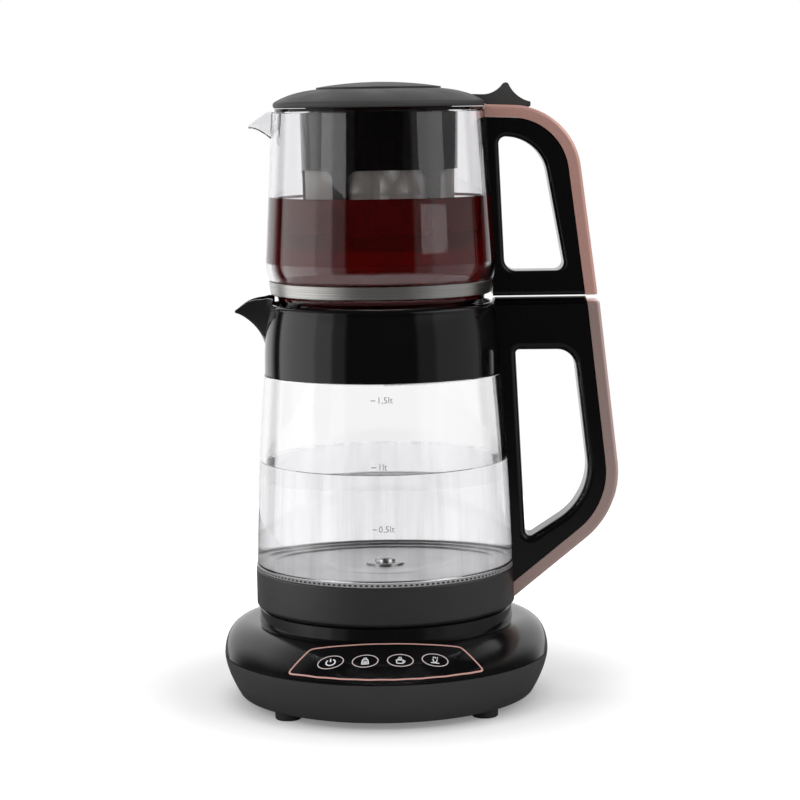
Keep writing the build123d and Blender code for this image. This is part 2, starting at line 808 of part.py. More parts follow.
with BuildPart() as kettle_collar:
    add(collar_spout.part)
    with BuildSketch(Plane.XZ):
        with BuildLine():
            bottom_edge = Line((neck_outer + seat_gap, collar_bottom), (collar_radius, collar_bottom))
            side = Spline(
                bottom_edge @ 1,
                (collar_radius - 0.4, collar_bottom + 16),
                (collar_radius - 1.5, collar_bottom + 28),
                (collar_shoulder, groove_bottom),
            )
            groove = Polyline(
                side @ 1,
                (collar_shoulder - groove_depth, groove_bottom),
                (collar_shoulder - groove_depth, groove_bottom + groove_height),
                (lip_radius, groove_bottom + groove_height),
            )
            bead = ThreePointArc(
                groove @ 1,
                (lip_radius - 0.6, collar_top - 0.7),
                (collar_inner_top + 0.4, collar_top),
            )
            Polyline(
                bead @ 1,
                (collar_inner_top, collar_top - 0.4),
                (collar_inner_top, ledge_top),
                (mouth_radius, ledge_top),
                (mouth_radius, ledge_bottom),
                (collar_inner_top, ledge_bottom - 3),
                (neck_inner + 0.5, gasket_space),
                (neck_outer + seat_gap, gasket_space),
                bottom_edge @ 0,
            )
        make_face()
    revolve(axis=Axis.Z)
    # nothing of the spout's root stays inside the collar
    with BuildSketch(Plane.XY.offset(collar_bottom - 10)):
        Circle(neck_outer + seat_gap)
    extrude(amount=gasket_space - collar_bottom + 10, mode=Mode.SUBTRACT)
    with BuildSketch(Plane.XY.offset(ledge_top)):
        Circle(collar_inner_top)
    extrude(amount=20, mode=Mode.SUBTRACT)
    with BuildSketch(Plane.XY.offset(gasket_space)):
        Circle(mouth_radius)
    extrude(amount=30, mode=Mode.SUBTRACT)
    add(collar_channel.part, mode=Mode.SUBTRACT)
finish(kettle_collar, "kettle_collar")

# ------------------------------------------------------------------ kettle: handle

end_allowance = 3.0       # handles and trims are drawn longer and cut off level
handle_root = min(skirt_radius, collar_radius) - 7.8  # they start here and are cut to the vessels
kettle_trim_line = [
    (124.0, kettle_trim_top + end_allowance),
    (137.3, 105.9),
    (handle_root + 7.0, skirt_bottom - 2.2),
]
kettle_grip_bend = 50.0
kettle_body_line = parallel(kettle_trim_line, trim_depth + seat_gap)
kettle_gap_corners = [
    (collar_radius + 8.5, 198.2),
    (109.7, 198.0),
    (119.3, 112.7),
    (glass_foot_radius + 7.2, glass_foot_height + 12),
]
kettle_gap_rounding = [2.0, 11.0, 36.0, 3.0]

# everything within a gap of the kettle's outside
with BuildPart() as kettle_core:
    with BuildSketch(Plane.XZ):
        with BuildLine():
            core_skirt = Polyline(
                (0, skirt_bottom - 12),
                (skirt_radius + seat_gap, skirt_bottom - 12),
                (skirt_radius + seat_gap, skirt_top + seat_gap),
                (glass_foot_radius + 0.5 + seat_gap, skirt_top + seat_gap),
                (glass_foot_radius + 0.5 + seat_gap, glass_foot_height + seat_gap),
                (glass_foot_radius + seat_gap, glass_foot_height + 0.4),
            )
            core_glass = ThreePointArc(
                core_skirt @ 1,
                (waist[0] + seat_gap, waist[1]),
                (glass_lip_radius + seat_gap, collar_bottom - glass_round),
            )
            core_step = Polyline(
                core_glass @ 1,
                (glass_lip_radius + seat_gap, collar_bottom),
                (collar_radius + seat_gap, collar_bottom),
            )
            core_collar = Spline(
                core_step @ 1,
                (collar_radius - 0.4 + seat_gap, collar_bottom + 16),
                (collar_radius - 1.5 + seat_gap, collar_bottom + 28),
                (lip_radius + seat_gap, groove_bottom),
            )
            Polyline(
                core_collar @ 1,
                (lip_radius + seat_gap, collar_top + 12),
                (0, collar_top + 12),
                (0, skirt_bottom - 12),
            )
        make_face()
    revolve(axis=Axis.Z)

with BuildPart() as kettle_handle:
    with BuildSketch(Plane.XZ):
        with BuildLine():
            back = FilletPolyline(*kettle_body_line, radius=kettle_grip_bend - trim_depth)
            Polyline(
                back @ 1,
                (handle_root, kettle_body_line[-1][1]),
                (handle_root, kettle_trim_top),
                back @ 0,
            )
        make_face()
        with BuildLine():
            FilletPolyline(*kettle_gap_corners, radius=kettle_gap_rounding, close=True)
        make_face(mode=Mode.SUBTRACT)
    extrude(amount=handle_half, both=True)
    # level top, under the cap
    with BuildSketch(Plane.XY.offset(kettle_handle_top)):
        with Locations((handle_root, 0)):
            Rectangle(4 * handle_root, 4 * handle_half)
    extrude(amount=10, mode=Mode.SUBTRACT)
    sides = kettle_handle.faces().filter_by(Axis.Y).sort_by(Axis.Y)
    fillet(sides[0].inner_wires()[0].edges() + sides[-1].inner_wires()[0].edges(), grip_bevel)
    fillet(kettle_handle.faces().sort_by(Axis.Z)[-1].edges().filter_by(Axis.X), handle_top_round)
    add(kettle_core.part, mode=Mode.SUBTRACT)
finish(kettle_handle, "kettle_handle")


def edges_along(part, line, half_width):
    """The edges on both sides of an extruded part that follow a line drawn in its XZ sketch."""
    found = []
    for edge in part.edges():
        middle = edge @ 0.5
        off = line.distance_to(Vertex(middle.X, middle.Z, 0))
        if abs(abs(middle.Y) - half_width) < 1e-3 and off < 1e-3:
            found.append(edge)
    return found


with BuildPart() as kettle_handle_trim:
    with BuildSketch(Plane.XZ):
        with BuildLine():
            outer_line = FilletPolyline(*kettle_trim_line, radius=kettle_grip_bend)
            inner_line = FilletPolyline(
                *parallel(kettle_trim_line, trim_depth),
                radius=kettle_grip_bend - trim_depth,
            )
            Line(outer_line @ 0, inner_line @ 0)
            Line(outer_line @ 1, inner_line @ 1)
        make_face()
    extrude(amount=trim_half, both=True)
    with BuildSketch(Plane.XY.offset(kettle_trim_top)):
        with Locations((handle_root, 0)):
            Rectangle(4 * handle_root, 4 * handle_half)
    extrude(amount=10, mode=Mode.SUBTRACT)
    fillet(edges_along(kettle_handle_trim.part, outer_line, trim_half), trim_edge)
    fillet(kettle_handle_trim.faces().sort_by(Axis.Z)[-1].edges().filter_by(Axis.X), trim_end)
    add(kettle_core.part, mode=Mode.SUBTRACT)
finish(kettle_handle_trim, "kettle_handle_trim")

cap_bottom = kettle_handle_top + seat_gap
cap_rim = cap_bottom + 1.0
cap_half = handle_half - 0.4
cap_neck_half = handle_half - 2.4

with BuildPart() as kettle_handle_cap:
    with BuildSketch(Plane.YZ.offset(handle_root)):
        with BuildLine():
            dome = ThreePointArc((-cap_half, cap_rim + 0.4), (0, cap_crown), (cap_half, cap_rim + 0.4))
            Polyline(
                dome @ 1,
                (cap_half, cap_rim),
                (cap_neck_half, cap_rim),
                (cap_neck_half, cap_bottom),
                (-cap_neck_half, cap_bottom),
                (-cap_neck_half, cap_rim),
                (-cap_half, cap_rim),
                dome @ 0,
            )
        make_face()
    extrude(amount=kettle_body_line[0][0] - handle_root)
    add(kettle_core.part, mode=Mode.SUBTRACT)
finish(kettle_handle_cap, "kettle_handle_cap")

# ------------------------------------------------------------------ teapot

band_inner_bottom = teapot_belly_radius - 2.4 - band_wall
band_inner_top = teapot_belly_radius - 1.4 - band_wall
belly_way = (teapot_belly_radius - teapot_rim_radius, teapot_belly_height - teapot_rim)
teapot_spout = [
    (4.9 - teapot_rim_radius, 13.0, teapot_rim + 2.5, teapot_rim - 20.5),
    (-3.1 - teapot_rim_radius, 7.5, teapot_rim - 0.4, teapot_rim - 13.5),
    (-9.1 - teapot_rim_radius, 3.8, teapot_rim - 4.4, teapot_rim - 10.0),
    (-13.4 - teapot_rim_radius, 1.5, teapot_rim - 7.7, teapot_rim - 9.2),
]
teapot_channel = [
    (16.9 - teapot_rim_radius, 12.0, teapot_rim + 13.0, teapot_rim - 18.0),
    (-3.1 - teapot_rim_radius, 6.2, teapot_rim + 7.0, teapot_rim - 11.6),
    (-9.1 - teapot_rim_radius, 2.9, teapot_rim + 3.0, teapot_rim - 8.6),
    (-14.6 - teapot_rim_radius, 1.2, teapot_rim - 1.0, teapot_rim - 8.1),
]

with BuildPart() as teapot_beak:
    loft([spout_section(*station) for station in teapot_spout])

with BuildPart() as teapot_beak_channel:
    loft([spout_section(*station) for station in teapot_channel])

with BuildPart() as teapot_glass:
    add(teapot_beak.part)
    with BuildSketch(Plane.XZ):
        with BuildLine():
            foot_line = Line((0, teapot_bottom), (teapot_foot_radius, teapot_bottom))
            corner_arc = TangentArc(
                foot_line @ 1,
                (teapot_neck_radius, teapot_bottom + 8),
                tangent=(1, 0),
            )
            outer_side = Polyline(
                corner_arc @ 1,
                (band_inner_bottom - seat_gap, band_bottom - 0.4),
                (band_inner_top - seat_gap, band_top + 0.1),
            )
            belly_arc = TangentArc(
                (teapot_belly_radius, teapot_belly_height),
                outer_side @ 1,
                tangent=belly_way,
            )
            rim = Polyline(
                belly_arc @ 0,
                (teapot_rim_radius + 0.2, teapot_rim - 4),
                (teapot_rim_radius, teapot_rim - 0.6),
                (teapot_rim_radius - 0.6, teapot_rim),
                (teapot_rim_radius - teapot_wall, teapot_rim),
                (teapot_rim_radius - teapot_wall - 0.4, teapot_rim - 1),
                (teapot_belly_radius - teapot_wall, teapot_belly_height),
            )
            inner_side = TangentArc(
                rim @ 1,
                (band_inner_top - seat_gap - teapot_wall, band_top + 0.1),
                tangent=belly_way,
            )
            inner_corner = Polyline(
                inner_side @ 1,
                (band_inner_bottom - seat_gap - teapot_wall, band_bottom),
                (teapot_neck_radius - teapot_wall, teapot_bottom + 8),
            )
            inner_floor = Line(
                (teapot_foot_radius - 1, teapot_bottom + teapot_wall),
                (0, teapot_bottom + teapot_wall),
            )
            TangentArc(inner_floor @ 0, inner_corner @ 1, tangent=(1, 0))
            Line(inner_floor @ 1, foot_line @ 0)
        make_face()
    revolve(axis=Axis.Z)
    # nothing of the spout's root stays inside or above the rim
    with BuildSketch(Plane.XY.offset(teapot_rim - 25)):
        Circle(teapot_rim_radius - teapot_wall - 0.4)
    extrude(amount=40, mode=Mode.SUBTRACT)
    with BuildSketch(Plane.XY.offset(teapot_rim)):
        Circle(teapot_rim_radius + 2)
    extrude(amount=20, mode=Mode.SUBTRACT)
    add(teapot_beak_channel.part, mode=Mode.SUBTRACT)
finish(teapot_glass, "teapot_glass")

with BuildPart() as teapot_band:
    with BuildSketch(Plane.XZ):
        with BuildLine():
            Polyline(
                (band_inner_bottom, band_bottom),
                (band_inner_bottom + band_wall, band_bottom),
                (band_inner_top + band_wall, band_top),
                (band_inner_top, band_top),
                close=True,
            )
        make_face()
    revolve(axis=Axis.Z)
    chamfer(teapot_band.edges().filter_by(GeomType.CIRCLE), 0.2)
finish(teapot_band, "teapot_band")

teapot_handle_root = teapot_rim_radius - 4.9
teapot_trim_line = [
    (teapot_handle_root, teapot_handle_top),
    (teapot_rim_radius + 48.9, teapot_handle_top - 2.0),
    (123.6, teapot_handle_bottom - end_allowance),
]
teapot_grip_bend = 40.0
teapot_body_line = parallel(teapot_trim_line, trim_depth + seat_gap)
teapot_gap_bottom = teapot_handle_bottom + 14.1
teapot_gap_corners = [
    (teapot_belly_radius + 4.7, teapot_gap_bottom),
    (teapot_rim_radius + 6.5, teapot_handle_top - 18.1),
    (teapot_rim_radius + 30.6, teapot_handle_top - 20.4),
    (104.8, teapot_gap_bottom),
]
teapot_gap_rounding = [7.0, 4.0, 24.0, 4.5]
slot_half = tab_half + 0.5
slot_start = hinge_x - 6.5
slot_end = hinge_x + 9.5
slot_floor = hinge_z - 8.0
tab_bottom = hinge_z + 2.5

# everything within a gap of the teapot's outside and its band
with BuildPart() as teapot_core:
    with BuildSketch(Plane.XZ):
        with BuildLine():
            core_band = Polyline(
                (0, teapot_bottom),
                (teapot_belly_radius - 1.4 + seat_gap, teapot_bottom),
                (teapot_belly_radius - 1.4 + seat_gap, band_top + 0.1),
            )
            core_belly = TangentArc(
                (teapot_belly_radius + seat_gap, teapot_belly_height),
                (teapot_belly_radius - 1.4 + seat_gap, band_top + 0.1),
                tangent=belly_way,
            )
            Polyline(
                core_belly @ 0,
                (teapot_rim_radius + 0.2 + seat_gap, teapot_rim - 4),
                (teapot_rim_radius + seat_gap, teapot_rim - 0.6),
                (teapot_rim_radius + seat_gap, lid_shoulder),
                (0, lid_shoulder),
                (0, teapot_bottom),
            )
        make_face()
    revolve(axis=Axis.Z)

with BuildPart() as hinge_slot:
    with BuildSketch(Plane.XY.offset(slot_floor)):
        with Locations(((slot_start + slot_end) / 2, 0)):
            Rectangle(slot_end - slot_start, 2 * slot_half)
    extrude(amount=30)
    # shallower towards the lid, where the tab lies in it
    with BuildSketch(Plane.XY.offset(tab_bottom - moving_gap)):
        with Locations(((teapot_handle_root + slot_end) / 2, 0)):
            Rectangle(slot_end - teapot_handle_root, 2 * slot_half)
    extrude(amount=20)

with BuildPart() as teapot_handle:
    with BuildSketch(Plane.XZ):
        with BuildLine():
            back = FilletPolyline(*teapot_body_line, radius=teapot_grip_bend - trim_depth)
            Polyline(
                back @ 1,
                (teapot_handle_root, teapot_handle_bottom - end_allowance),
                back @ 0,
            )
        make_face()
        with BuildLine():
            FilletPolyline(*teapot_gap_corners, radius=teapot_gap_rounding, close=True)
        make_face(mode=Mode.SUBTRACT)
    extrude(amount=handle_half, both=True)
    with BuildSketch(Plane.XY.offset(teapot_handle_bottom)):
        with Locations((teapot_handle_root, 0)):
            Rectangle(4 * teapot_handle_root, 4 * handle_half)
    extrude(amount=-10, mode=Mode.SUBTRACT)
    sides = teapot_handle.faces().filter_by(Axis.Y).sort_by(Axis.Y)
    fillet(sides[0].inner_wires()[0].edges() + sides[-1].inner_wires()[0].edges(), teapot_grip_bevel)
    fillet(teapot_handle.faces().sort_by(Axis.Z)[0].edges().filter_by(Axis.X), handle_bottom_round)
    add(teapot_core.part, mode=Mode.SUBTRACT)
    add(hinge_slot.part, mode=Mode.SUBTRACT)
finish(teapot_handle, "teapot_handle")

with BuildPart() as teapot_handle_trim:
    with BuildSketch(Plane.XZ):
        with BuildLine():
            outer_line = FilletPolyline(*teapot_trim_line, radius=teapot_grip_bend)
            inner_line = FilletPolyline(
                *parallel(teapot_trim_line, trim_depth),
                radius=teapot_grip_bend - trim_depth,
            )
            Line(outer_line @ 0, inner_line @ 0)
            Line(outer_line @ 1, inner_line @ 1)
        make_face()
    extrude(amount=trim_half, both=True)
    with BuildSketch(Plane.XY.offset(teapot_handle_bottom)):
        with Locations((teapot_handle_root, 0)):
            Rectangle(4 * teapot_handle_root, 4 * handle_half)
    extrude(amount=-10, mode=Mode.SUBTRACT)
    fillet(edges_along(teapot_handle_trim.part, outer_line, trim_half), trim_edge)
    fillet(teapot_handle_trim.faces().sort_by(Axis.Z)[0].edges().filter_by(Axis.X), trim_end)
    add(teapot_core.part, mode=Mode.SUBTRACT)
    add(hinge_slot.part, mode=Mode.SUBTRACT)
    with BuildSketch(Plane.XZ):
        with Locations((hinge_x, hinge_z)):
            Circle(hinge_pin_radius + 0.02)
    extrude(amount=trim_half - 1.5, both=True, mode=Mode.SUBTRACT)
finish(teapot_handle_trim, "teapot_handle_trim")

with BuildPart() as hinge_pin:
    with BuildSketch(Plane.XZ):
        with Locations((hinge_x, hinge_z)):
            Circle(hinge_pin_radius)
    extrude(amount=trim_half - 1.6, both=True)
finish(hinge_pin, "hinge_pin")

# ------------------------------------------------------------------ infuser

basket_inner = basket_radius - basket_wall
basket_foot = basket_radius - basket_taper
floor_hole = basket_radius - 15.0

with BuildPart() as infuser_frame:
    with BuildSketch(Plane.XZ):
        with BuildLine():
            Polyline(
                (floor_hole, basket_bottom),
                (basket_foot, basket_bottom),
                (basket_radius, teapot_rim - 3),
                (basket_radius, teapot_rim),
                (basket_flange, teapot_rim),
                (basket_flange, teapot_rim + flange_thickness),
                (basket_inner, teapot_rim + flange_thickness),
                (basket_inner, teapot_rim - 3),
                (basket_foot - basket_wall, basket_bottom + basket_wall),
                (floor_hole, basket_bottom + basket_wall),
                close=True,
            )
        make_face()
    revolve(axis=Axis.Z)
    for turn in range(window_count):
        angle = radians(-90 + window_turn + 360 / window_count * turn)
        radial = Plane(
            origin=(0, 0, (window_bottom + window_top) / 2),
            x_dir=(-sin(angle), cos(angle), 0),
            z_dir=(cos(angle), sin(angle), 0),
        )
        with BuildSketch(radial.offset(basket_inner - 14)):
            RectangleRounded(window_width, window_top - window_bottom, window_corner)
        extrude(amount=20, mode=Mode.SUBTRACT)
finish(infuser_frame, "infuser_frame")

mesh_overlap = 3.0
mesh_half_turn = 34.0
with BuildPart() as infuser_mesh:
    for turn in range(window_count):
        angle = -90 + window_turn + 360 / window_count * turn
        with BuildSketch(Plane.XZ.rotated((0, 0, angle - mesh_half_turn))):
            with BuildLine():
                foot_radius_in = basket_foot - basket_wall - seat_gap
                head_radius_in = foot_radius_in + basket_taper * 0.6
                Polyline(
                    (foot_radius_in - mesh_thickness, window_bottom - mesh_overlap),
                    (foot_radius_in, window_bottom - mesh_overlap),
                    (head_radius_in, window_top + mesh_overlap),
                    (head_radius_in - mesh_thickness, window_top + mesh_overlap),
                    close=True,
                )
            make_face()
        revolve(axis=Axis.Z, revolution_arc=2 * mesh_half_turn)
    with BuildSketch(Plane.XY.offset(basket_bottom + basket_wall + seat_gap)):
        Circle(floor_hole + mesh_overlap)
    extrude(amount=mesh_thickness)
finish(infuser_mesh, "infuser_mesh")

# ------------------------------------------------------------------ lid

lid_bottom = teapot_rim + flange_thickness + moving_gap
lid_rim = lid_bottom + lid_rim_height
tab_peak_x = hinge_x - 7.9
tab_root = lid_radius - 8.3

with BuildPart() as lid_tab:
    with BuildSketch(Plane.XZ):
        with BuildLine():
            left_flank = ThreePointArc(
                (tab_peak_x - 13.6, lid_bottom + 6.4),
                (tab_peak_x - 5.6, lid_bottom + 8.4),
                (tab_peak_x - 1.5, tab_peak - 0.7),
            )
            peak = ThreePointArc(left_flank @ 1, (tab_peak_x, tab_peak), (tab_peak_x + 1.5, tab_peak - 0.7))
            right_flank = ThreePointArc(
                peak @ 1,
                (hinge_x - 1.8, hinge_z + 8.9),
                (hinge_x + 6.1, hinge_z + 4.9),
            )
            Polyline(
                right_flank @ 1,
                (hinge_x + 6.1, hinge_z + 2.6),
                (hinge_x + knuckle_radius, hinge_z + 1),
                (hinge_x - knuckle_radius, hinge_z + 1),
                (hinge_x - knuckle_radius - 1.5, tab_bottom),
                (teapot_rim_radius + 0.7, tab_bottom),
                (teapot_rim_radius - 0.3, lid_bottom + 1.2),
                (tab_root, lid_bottom + 1.2),
                (tab_root, lid_bottom + 6.6),
                left_flank @ 0,
            )
        make_face()
        with Locations((hinge_x, hinge_z)):
            Circle(knuckle_radius)
            Circle(hinge_pin_radius + pin_gap, mode=Mode.SUBTRACT)
    extrude(amount=tab_half, both=True)

with BuildPart() as lid_cover:
    with BuildSketch(Plane.XZ):
        with BuildLine():
            base_line = Line((0, lid_bottom), (lid_radius - 0.8, lid_bottom))
            side_arc = ThreePointArc(
                base_line @ 1,
                (lid_radius, lid_bottom + 1.6),
                (lid_radius - 0.8, lid_rim - 0.6),
            )
            dome = Spline(
                side_arc @ 1,
                (lid_radius - 4.2, lid_rim + 1.2),
                (disc_radius + 8, lid_shoulder - 1.2),
                (disc_radius, lid_shoulder),
            )
            Polyline(dome @ 1, (0, lid_shoulder), (0, lid_bottom))
        make_face()
    revolve(axis=Axis.Z)
    # hollow underneath
    with BuildSketch(Plane.XZ):
        with BuildLine():
            Polyline(
                (0, lid_bottom),
                (lid_radius - lid_wall - 0.6, lid_bottom),
                (lid_radius - lid_wall - 1.2, lid_rim - 0.6),
                (disc_radius + 7, lid_shoulder - 1.4 - lid_wall),
                (0, lid_shoulder - 0.4 - lid_wall),
                close=True,
            )
        make_face()
    revolve(axis=Axis.Z, mode=Mode.SUBTRACT)
    add(lid_tab.part)
finish(lid_cover, "lid_cover")

with BuildPart() as lid_disc:
    with BuildSketch(Plane.XZ):
        with BuildLine():
            disc_base = Line((0, lid_shoulder + seat_gap), (disc_radius - 0.5, lid_shoulder + seat_gap))
            disc_edge = Line(disc_base @ 1, (disc_radius - 0.5, lid_shoulder + 1.0))
            TangentArc((0, lid_top), disc_edge @ 1, tangent=(1, 0))
            Line((0, lid_top), disc_base @ 0)
        make_face()
    revolve(axis=Axis.Z)
finish(lid_disc, "lid_disc")

with BuildPart() as lid_liner:
    with BuildSketch(Plane.XZ):
        with BuildLine():
            Polyline(
                (0, plug_bottom),
                (plug_radius, plug_bottom),
                (plug_radius, lid_shoulder - 1.7 - lid_wall),
                (plug_radius - 1.8, lid_shoulder - 1.6 - lid_wall),
                (plug_radius - 1.8, plug_bottom + 1.8),
                (0, plug_bottom + 1.8),
                close=True,
            )
        make_face()
    revolve(axis=Axis.Z)
finish(lid_liner, "lid_liner")

with BuildPart() as lid_gasket:
    with BuildSketch(Plane.XZ):
        with Locations((plug_radius + seat_gap + 0.45, plug_bottom + 1.2)):
            Rectangle(0.7, 1.2)
    revolve(axis=Axis.Z)
finish(lid_gasket, "lid_gasket")
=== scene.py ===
"""Looks of the electric tea maker: a heated base, a glass kettle and a glass teapot with a lid.

Metres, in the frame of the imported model: +Z up, controls towards -Y, handles to +X, spouts to -X.
"""

import math

import bpy
from mathutils import Matrix, Vector
from mathutils.bvhtree import BVHTree


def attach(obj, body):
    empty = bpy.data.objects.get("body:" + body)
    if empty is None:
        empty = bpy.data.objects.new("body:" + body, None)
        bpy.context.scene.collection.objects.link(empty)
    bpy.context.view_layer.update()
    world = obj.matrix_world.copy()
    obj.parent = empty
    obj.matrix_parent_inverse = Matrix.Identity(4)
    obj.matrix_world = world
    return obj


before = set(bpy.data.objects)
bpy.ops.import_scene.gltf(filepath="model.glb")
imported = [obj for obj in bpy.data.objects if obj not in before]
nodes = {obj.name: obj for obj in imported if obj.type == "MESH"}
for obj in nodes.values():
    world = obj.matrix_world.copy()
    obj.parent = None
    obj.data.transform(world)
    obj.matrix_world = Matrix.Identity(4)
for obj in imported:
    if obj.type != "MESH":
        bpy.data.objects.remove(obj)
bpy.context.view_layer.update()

MM = 0.001

# ------------------------------------------------------------------ camera

CAMERA_PLACE = (0.0098, -1.3751, 0.3354)
CAMERA_PITCH = 6.9        # degrees below level
CAMERA_ROLL = -0.8
CAMERA_LENS = 108.0

camera = bpy.data.objects.new("camera", bpy.data.cameras.new("camera"))
bpy.context.scene.collection.objects.link(camera)
camera.data.sensor_width = 36.0
camera.data.lens = CAMERA_LENS
camera.data.clip_end = 30.0
camera.matrix_world = (
    Matrix.Translation(CAMERA_PLACE)
    @ Matrix.Rotation(math.radians(90 - CAMERA_PITCH), 4, "X")
    @ Matrix.Rotation(math.radians(CAMERA_ROLL), 4, "Z")
)
bpy.context.scene.camera = camera

# ------------------------------------------------------------------ node helpers


class Graph:
    """Short ways to build a shader."""

    def __init__(self, tree):
        self.tree = tree
        self.tree.nodes.clear()

    def node(self, kind, inputs=None, **settings):
        made = self.tree.nodes.new("ShaderNode" + kind)
        for key, value in settings.items():
            setattr(made, key, value)
        for key, value in (inputs or {}).items():
            if isinstance(value, bpy.types.NodeSocket):
                self.tree.links.new(value, made.inputs[key])
            else:
                made.inputs[key].default_value = value
        return made

    def math(self, operation, first, second=0.0, third=0.0, clamp=False):
        made = self.node("Math", operation=operation, use_clamp=clamp)
        for socket, value in zip(made.inputs, (first, second, third)):
            if isinstance(value, bpy.types.NodeSocket):
                self.tree.links.new(value, socket)
            else:
                socket.default_value = value
        return made.outputs[0]

    def ramp(self, factor, *stops):
        """A colour ramp from (position, grey or colour) stops."""
        made = self.node("ValToRGB", {"Fac": factor})
        elements = made.color_ramp.elements
        while len(elements) < len(stops):
            elements.new(0.5)
        for element, (position, colour) in zip(elements, stops):
            element.position = position
            if isinstance(colour, (int, float)):
                colour = (colour, colour, colour)
            element.color = (*colour, 1.0)
        return made.outputs["Color"]

    def spread(self, value, low, high, to_low, to_high):
        return self.node("MapRange", {
            "Value": value, "From Min": low, "From Max": high, "To Min": to_low, "To Max": to_high,
        }).outputs["Result"]

    def place(self):
        return self.node("TexCoord").outputs["Object"]

    def scaled(self, vector, scale):
        return self.node("Mapping", {"Vector": vector, "Scale": scale}).outputs["Vector"]

    def from_axis(self, place):
        """The distance from the upright axis that kettle and teapot share."""
        flat = self.scaled(place, (1, 1, 0))
        return self.node("VectorMath", {0: flat}, operation="LENGTH").outputs["Value"]

    def around(self, axes):
        """The angle about that axis."""
        return self.math("ARCTAN2", axes.outputs["Y"], axes.outputs["X"])

    def noise(self, vector, scale, detail=3.0, rough=0.5):
        return self.node("TexNoise", {
            "Vector": vector, "Scale": scale, "Detail": detail, "Roughness": rough,
        }).outputs["Fac"]

    def bump(self, height, distance, strength=1.0):
        return self.node("Bump", {
            "Height": height, "Distance": distance, "Strength": strength,
        }).outputs["Normal"]

    def surface(self, shader):
        self.tree.links.new(shader, self.node("OutputMaterial").inputs["Surface"])


def material(name):
    made = bpy.data.materials.new(name)
    made.use_nodes = True
    return made, Graph(made.node_tree)


def plastic(name, colour, roughness, grain=2600.0, grain_depth=0.00002, vary=0.12, shine=0.5):
    """Moulded plastic: faint mottling of colour and gloss over a fine mould grain."""
    made, graph = material(name)
    place = graph.place()
    cloud = graph.noise(place, 24.0, 4.0)
    dark = tuple(c * (1 - vary) for c in colour)
    light = tuple(c * (1 + vary) for c in colour)
    shader = graph.node("BsdfPrincipled", {
        "Base Color": graph.ramp(cloud, (0.3, dark), (0.7, light)),
        "Roughness": graph.spread(graph.noise(place, 60.0, 5.0), 0.3, 0.7,
                                  roughness * 0.88, roughness * 1.12),
        "IOR": 1.5,
        "Specular IOR Level": shine,
        "Normal": graph.bump(graph.noise(place, grain, 2.0), grain_depth),
    })
    graph.surface(shader.outputs["BSDF"])
    return made


def metal(name, colour, roughness, streaks, streak_depth=0.000015, fleck=0.0, metallic=1.0):
    """Metal with streaks along a direction: streaks is the noise scale on each axis."""
    made, graph = material(name)
    place = graph.place()
    lines = graph.noise(graph.scaled(place, streaks), 1.0, 4.0, 0.6)
    fine = graph.noise(place, 5200.0, 2.0)
    tone = graph.math("ADD", graph.math("MULTIPLY", lines, 1 - fleck),
                      graph.math("MULTIPLY", fine, fleck))
    shader = graph.node("BsdfPrincipled", {
        "Base Color": graph.ramp(tone, (0.3, tuple(c * 0.86 for c in colour)),
                                 (0.7, tuple(min(c * 1.1, 1.0) for c in colour))),
        "Metallic": metallic,
        "Roughness": graph.spread(tone, 0.3, 0.7, roughness * 1.15, roughness * 0.85),
        "Normal": graph.bump(lines, streak_depth),
    })
    graph.surface(shader.outputs["BSDF"])
    return made


def rubber(name, colour, roughness=0.7):
    return plastic(name, colour, roughness, grain=3200.0, grain_depth=0.00004, vary=0.2)


def glass(name, tint):
    """Blown glass: clear, with a very slight waviness."""
    made, graph = material(name)
    place = graph.place()
    shader = graph.node("BsdfPrincipled", {
        "Base Color": (*tint, 1.0),
        "Roughness": graph.spread(graph.noise(place, 90.0, 4.0), 0.45, 0.8, 0.0, 0.02),
        "IOR": 1.47,
        "Transmission Weight": 1.0,
        "Normal": graph.bump(graph.noise(graph.scaled(place, (1, 1, 0.25)), 60.0, 2.0), 0.00001),
    })
    graph.surface(shader.outputs["BSDF"])
    return made


def finish(node, made):
    """Give a CAD node its finished material."""
    mesh = nodes[node].data
    if not mesh.materials:
        mesh.materials.append(made)
    for index in range(len(mesh.materials)):
        mesh.materials[index] = made


# ------------------------------------------------------------------ materials

GLOSS_BLACK = (0.0034, 0.0030, 0.0033)
SATIN_BLACK = (0.028, 0.0262, 0.028)

gloss_black = plastic("gloss_black", GLOSS_BLACK, 0.18, grain=900.0, grain_depth=0.000004)
cover_black = plastic("cover_black", GLOSS_BLACK, 0.16, grain=900.0, grain_depth=0.000005)
collar_black = plastic("collar_black", GLOSS_BLACK, 0.10, grain=700.0, grain_depth=0.000004)
infuser_black = plastic("infuser_black", (0.0045, 0.002, 0.002), 0.10,
                        grain=700.0, grain_depth=0.000004, shine=0.2)
panel_black = plastic("panel_black", (0.004, 0.004, 0.0045), 0.07, grain=300.0, grain_depth=0.000002)
shell_satin = plastic("shell_satin", SATIN_BLACK, 0.42, shine=1.0)
skirt_satin = plastic("skirt_satin", (0.019, 0.017, 0.018), 0.38, shine=1.0)
lid_matte = plastic("lid_matte", (0.048, 0.047, 0.048), 0.55, grain_depth=0.00003)
inner_black = plastic("inner_black", (0.02, 0.02, 0.02), 0.5)
foot_rubber = rubber("foot_rubber", (0.02, 0.02, 0.02))
gland_rubber = rubber("gland_rubber", (0.018, 0.018, 0.018))
silicone = rubber("silicone", (0.42, 0.4, 0.38), 0.45)
board_green = plastic("board_green", (0.02, 0.13, 0.05), 0.4)
film_copper = metal("film_copper", (0.7, 0.42, 0.22), 0.35, (40, 900, 40))
led_white = plastic("led_white", (0.8, 0.8, 0.78), 0.3)
steel_band = metal("steel_band", (0.56, 0.55, 0.53), 0.30, (6, 6, 2400))
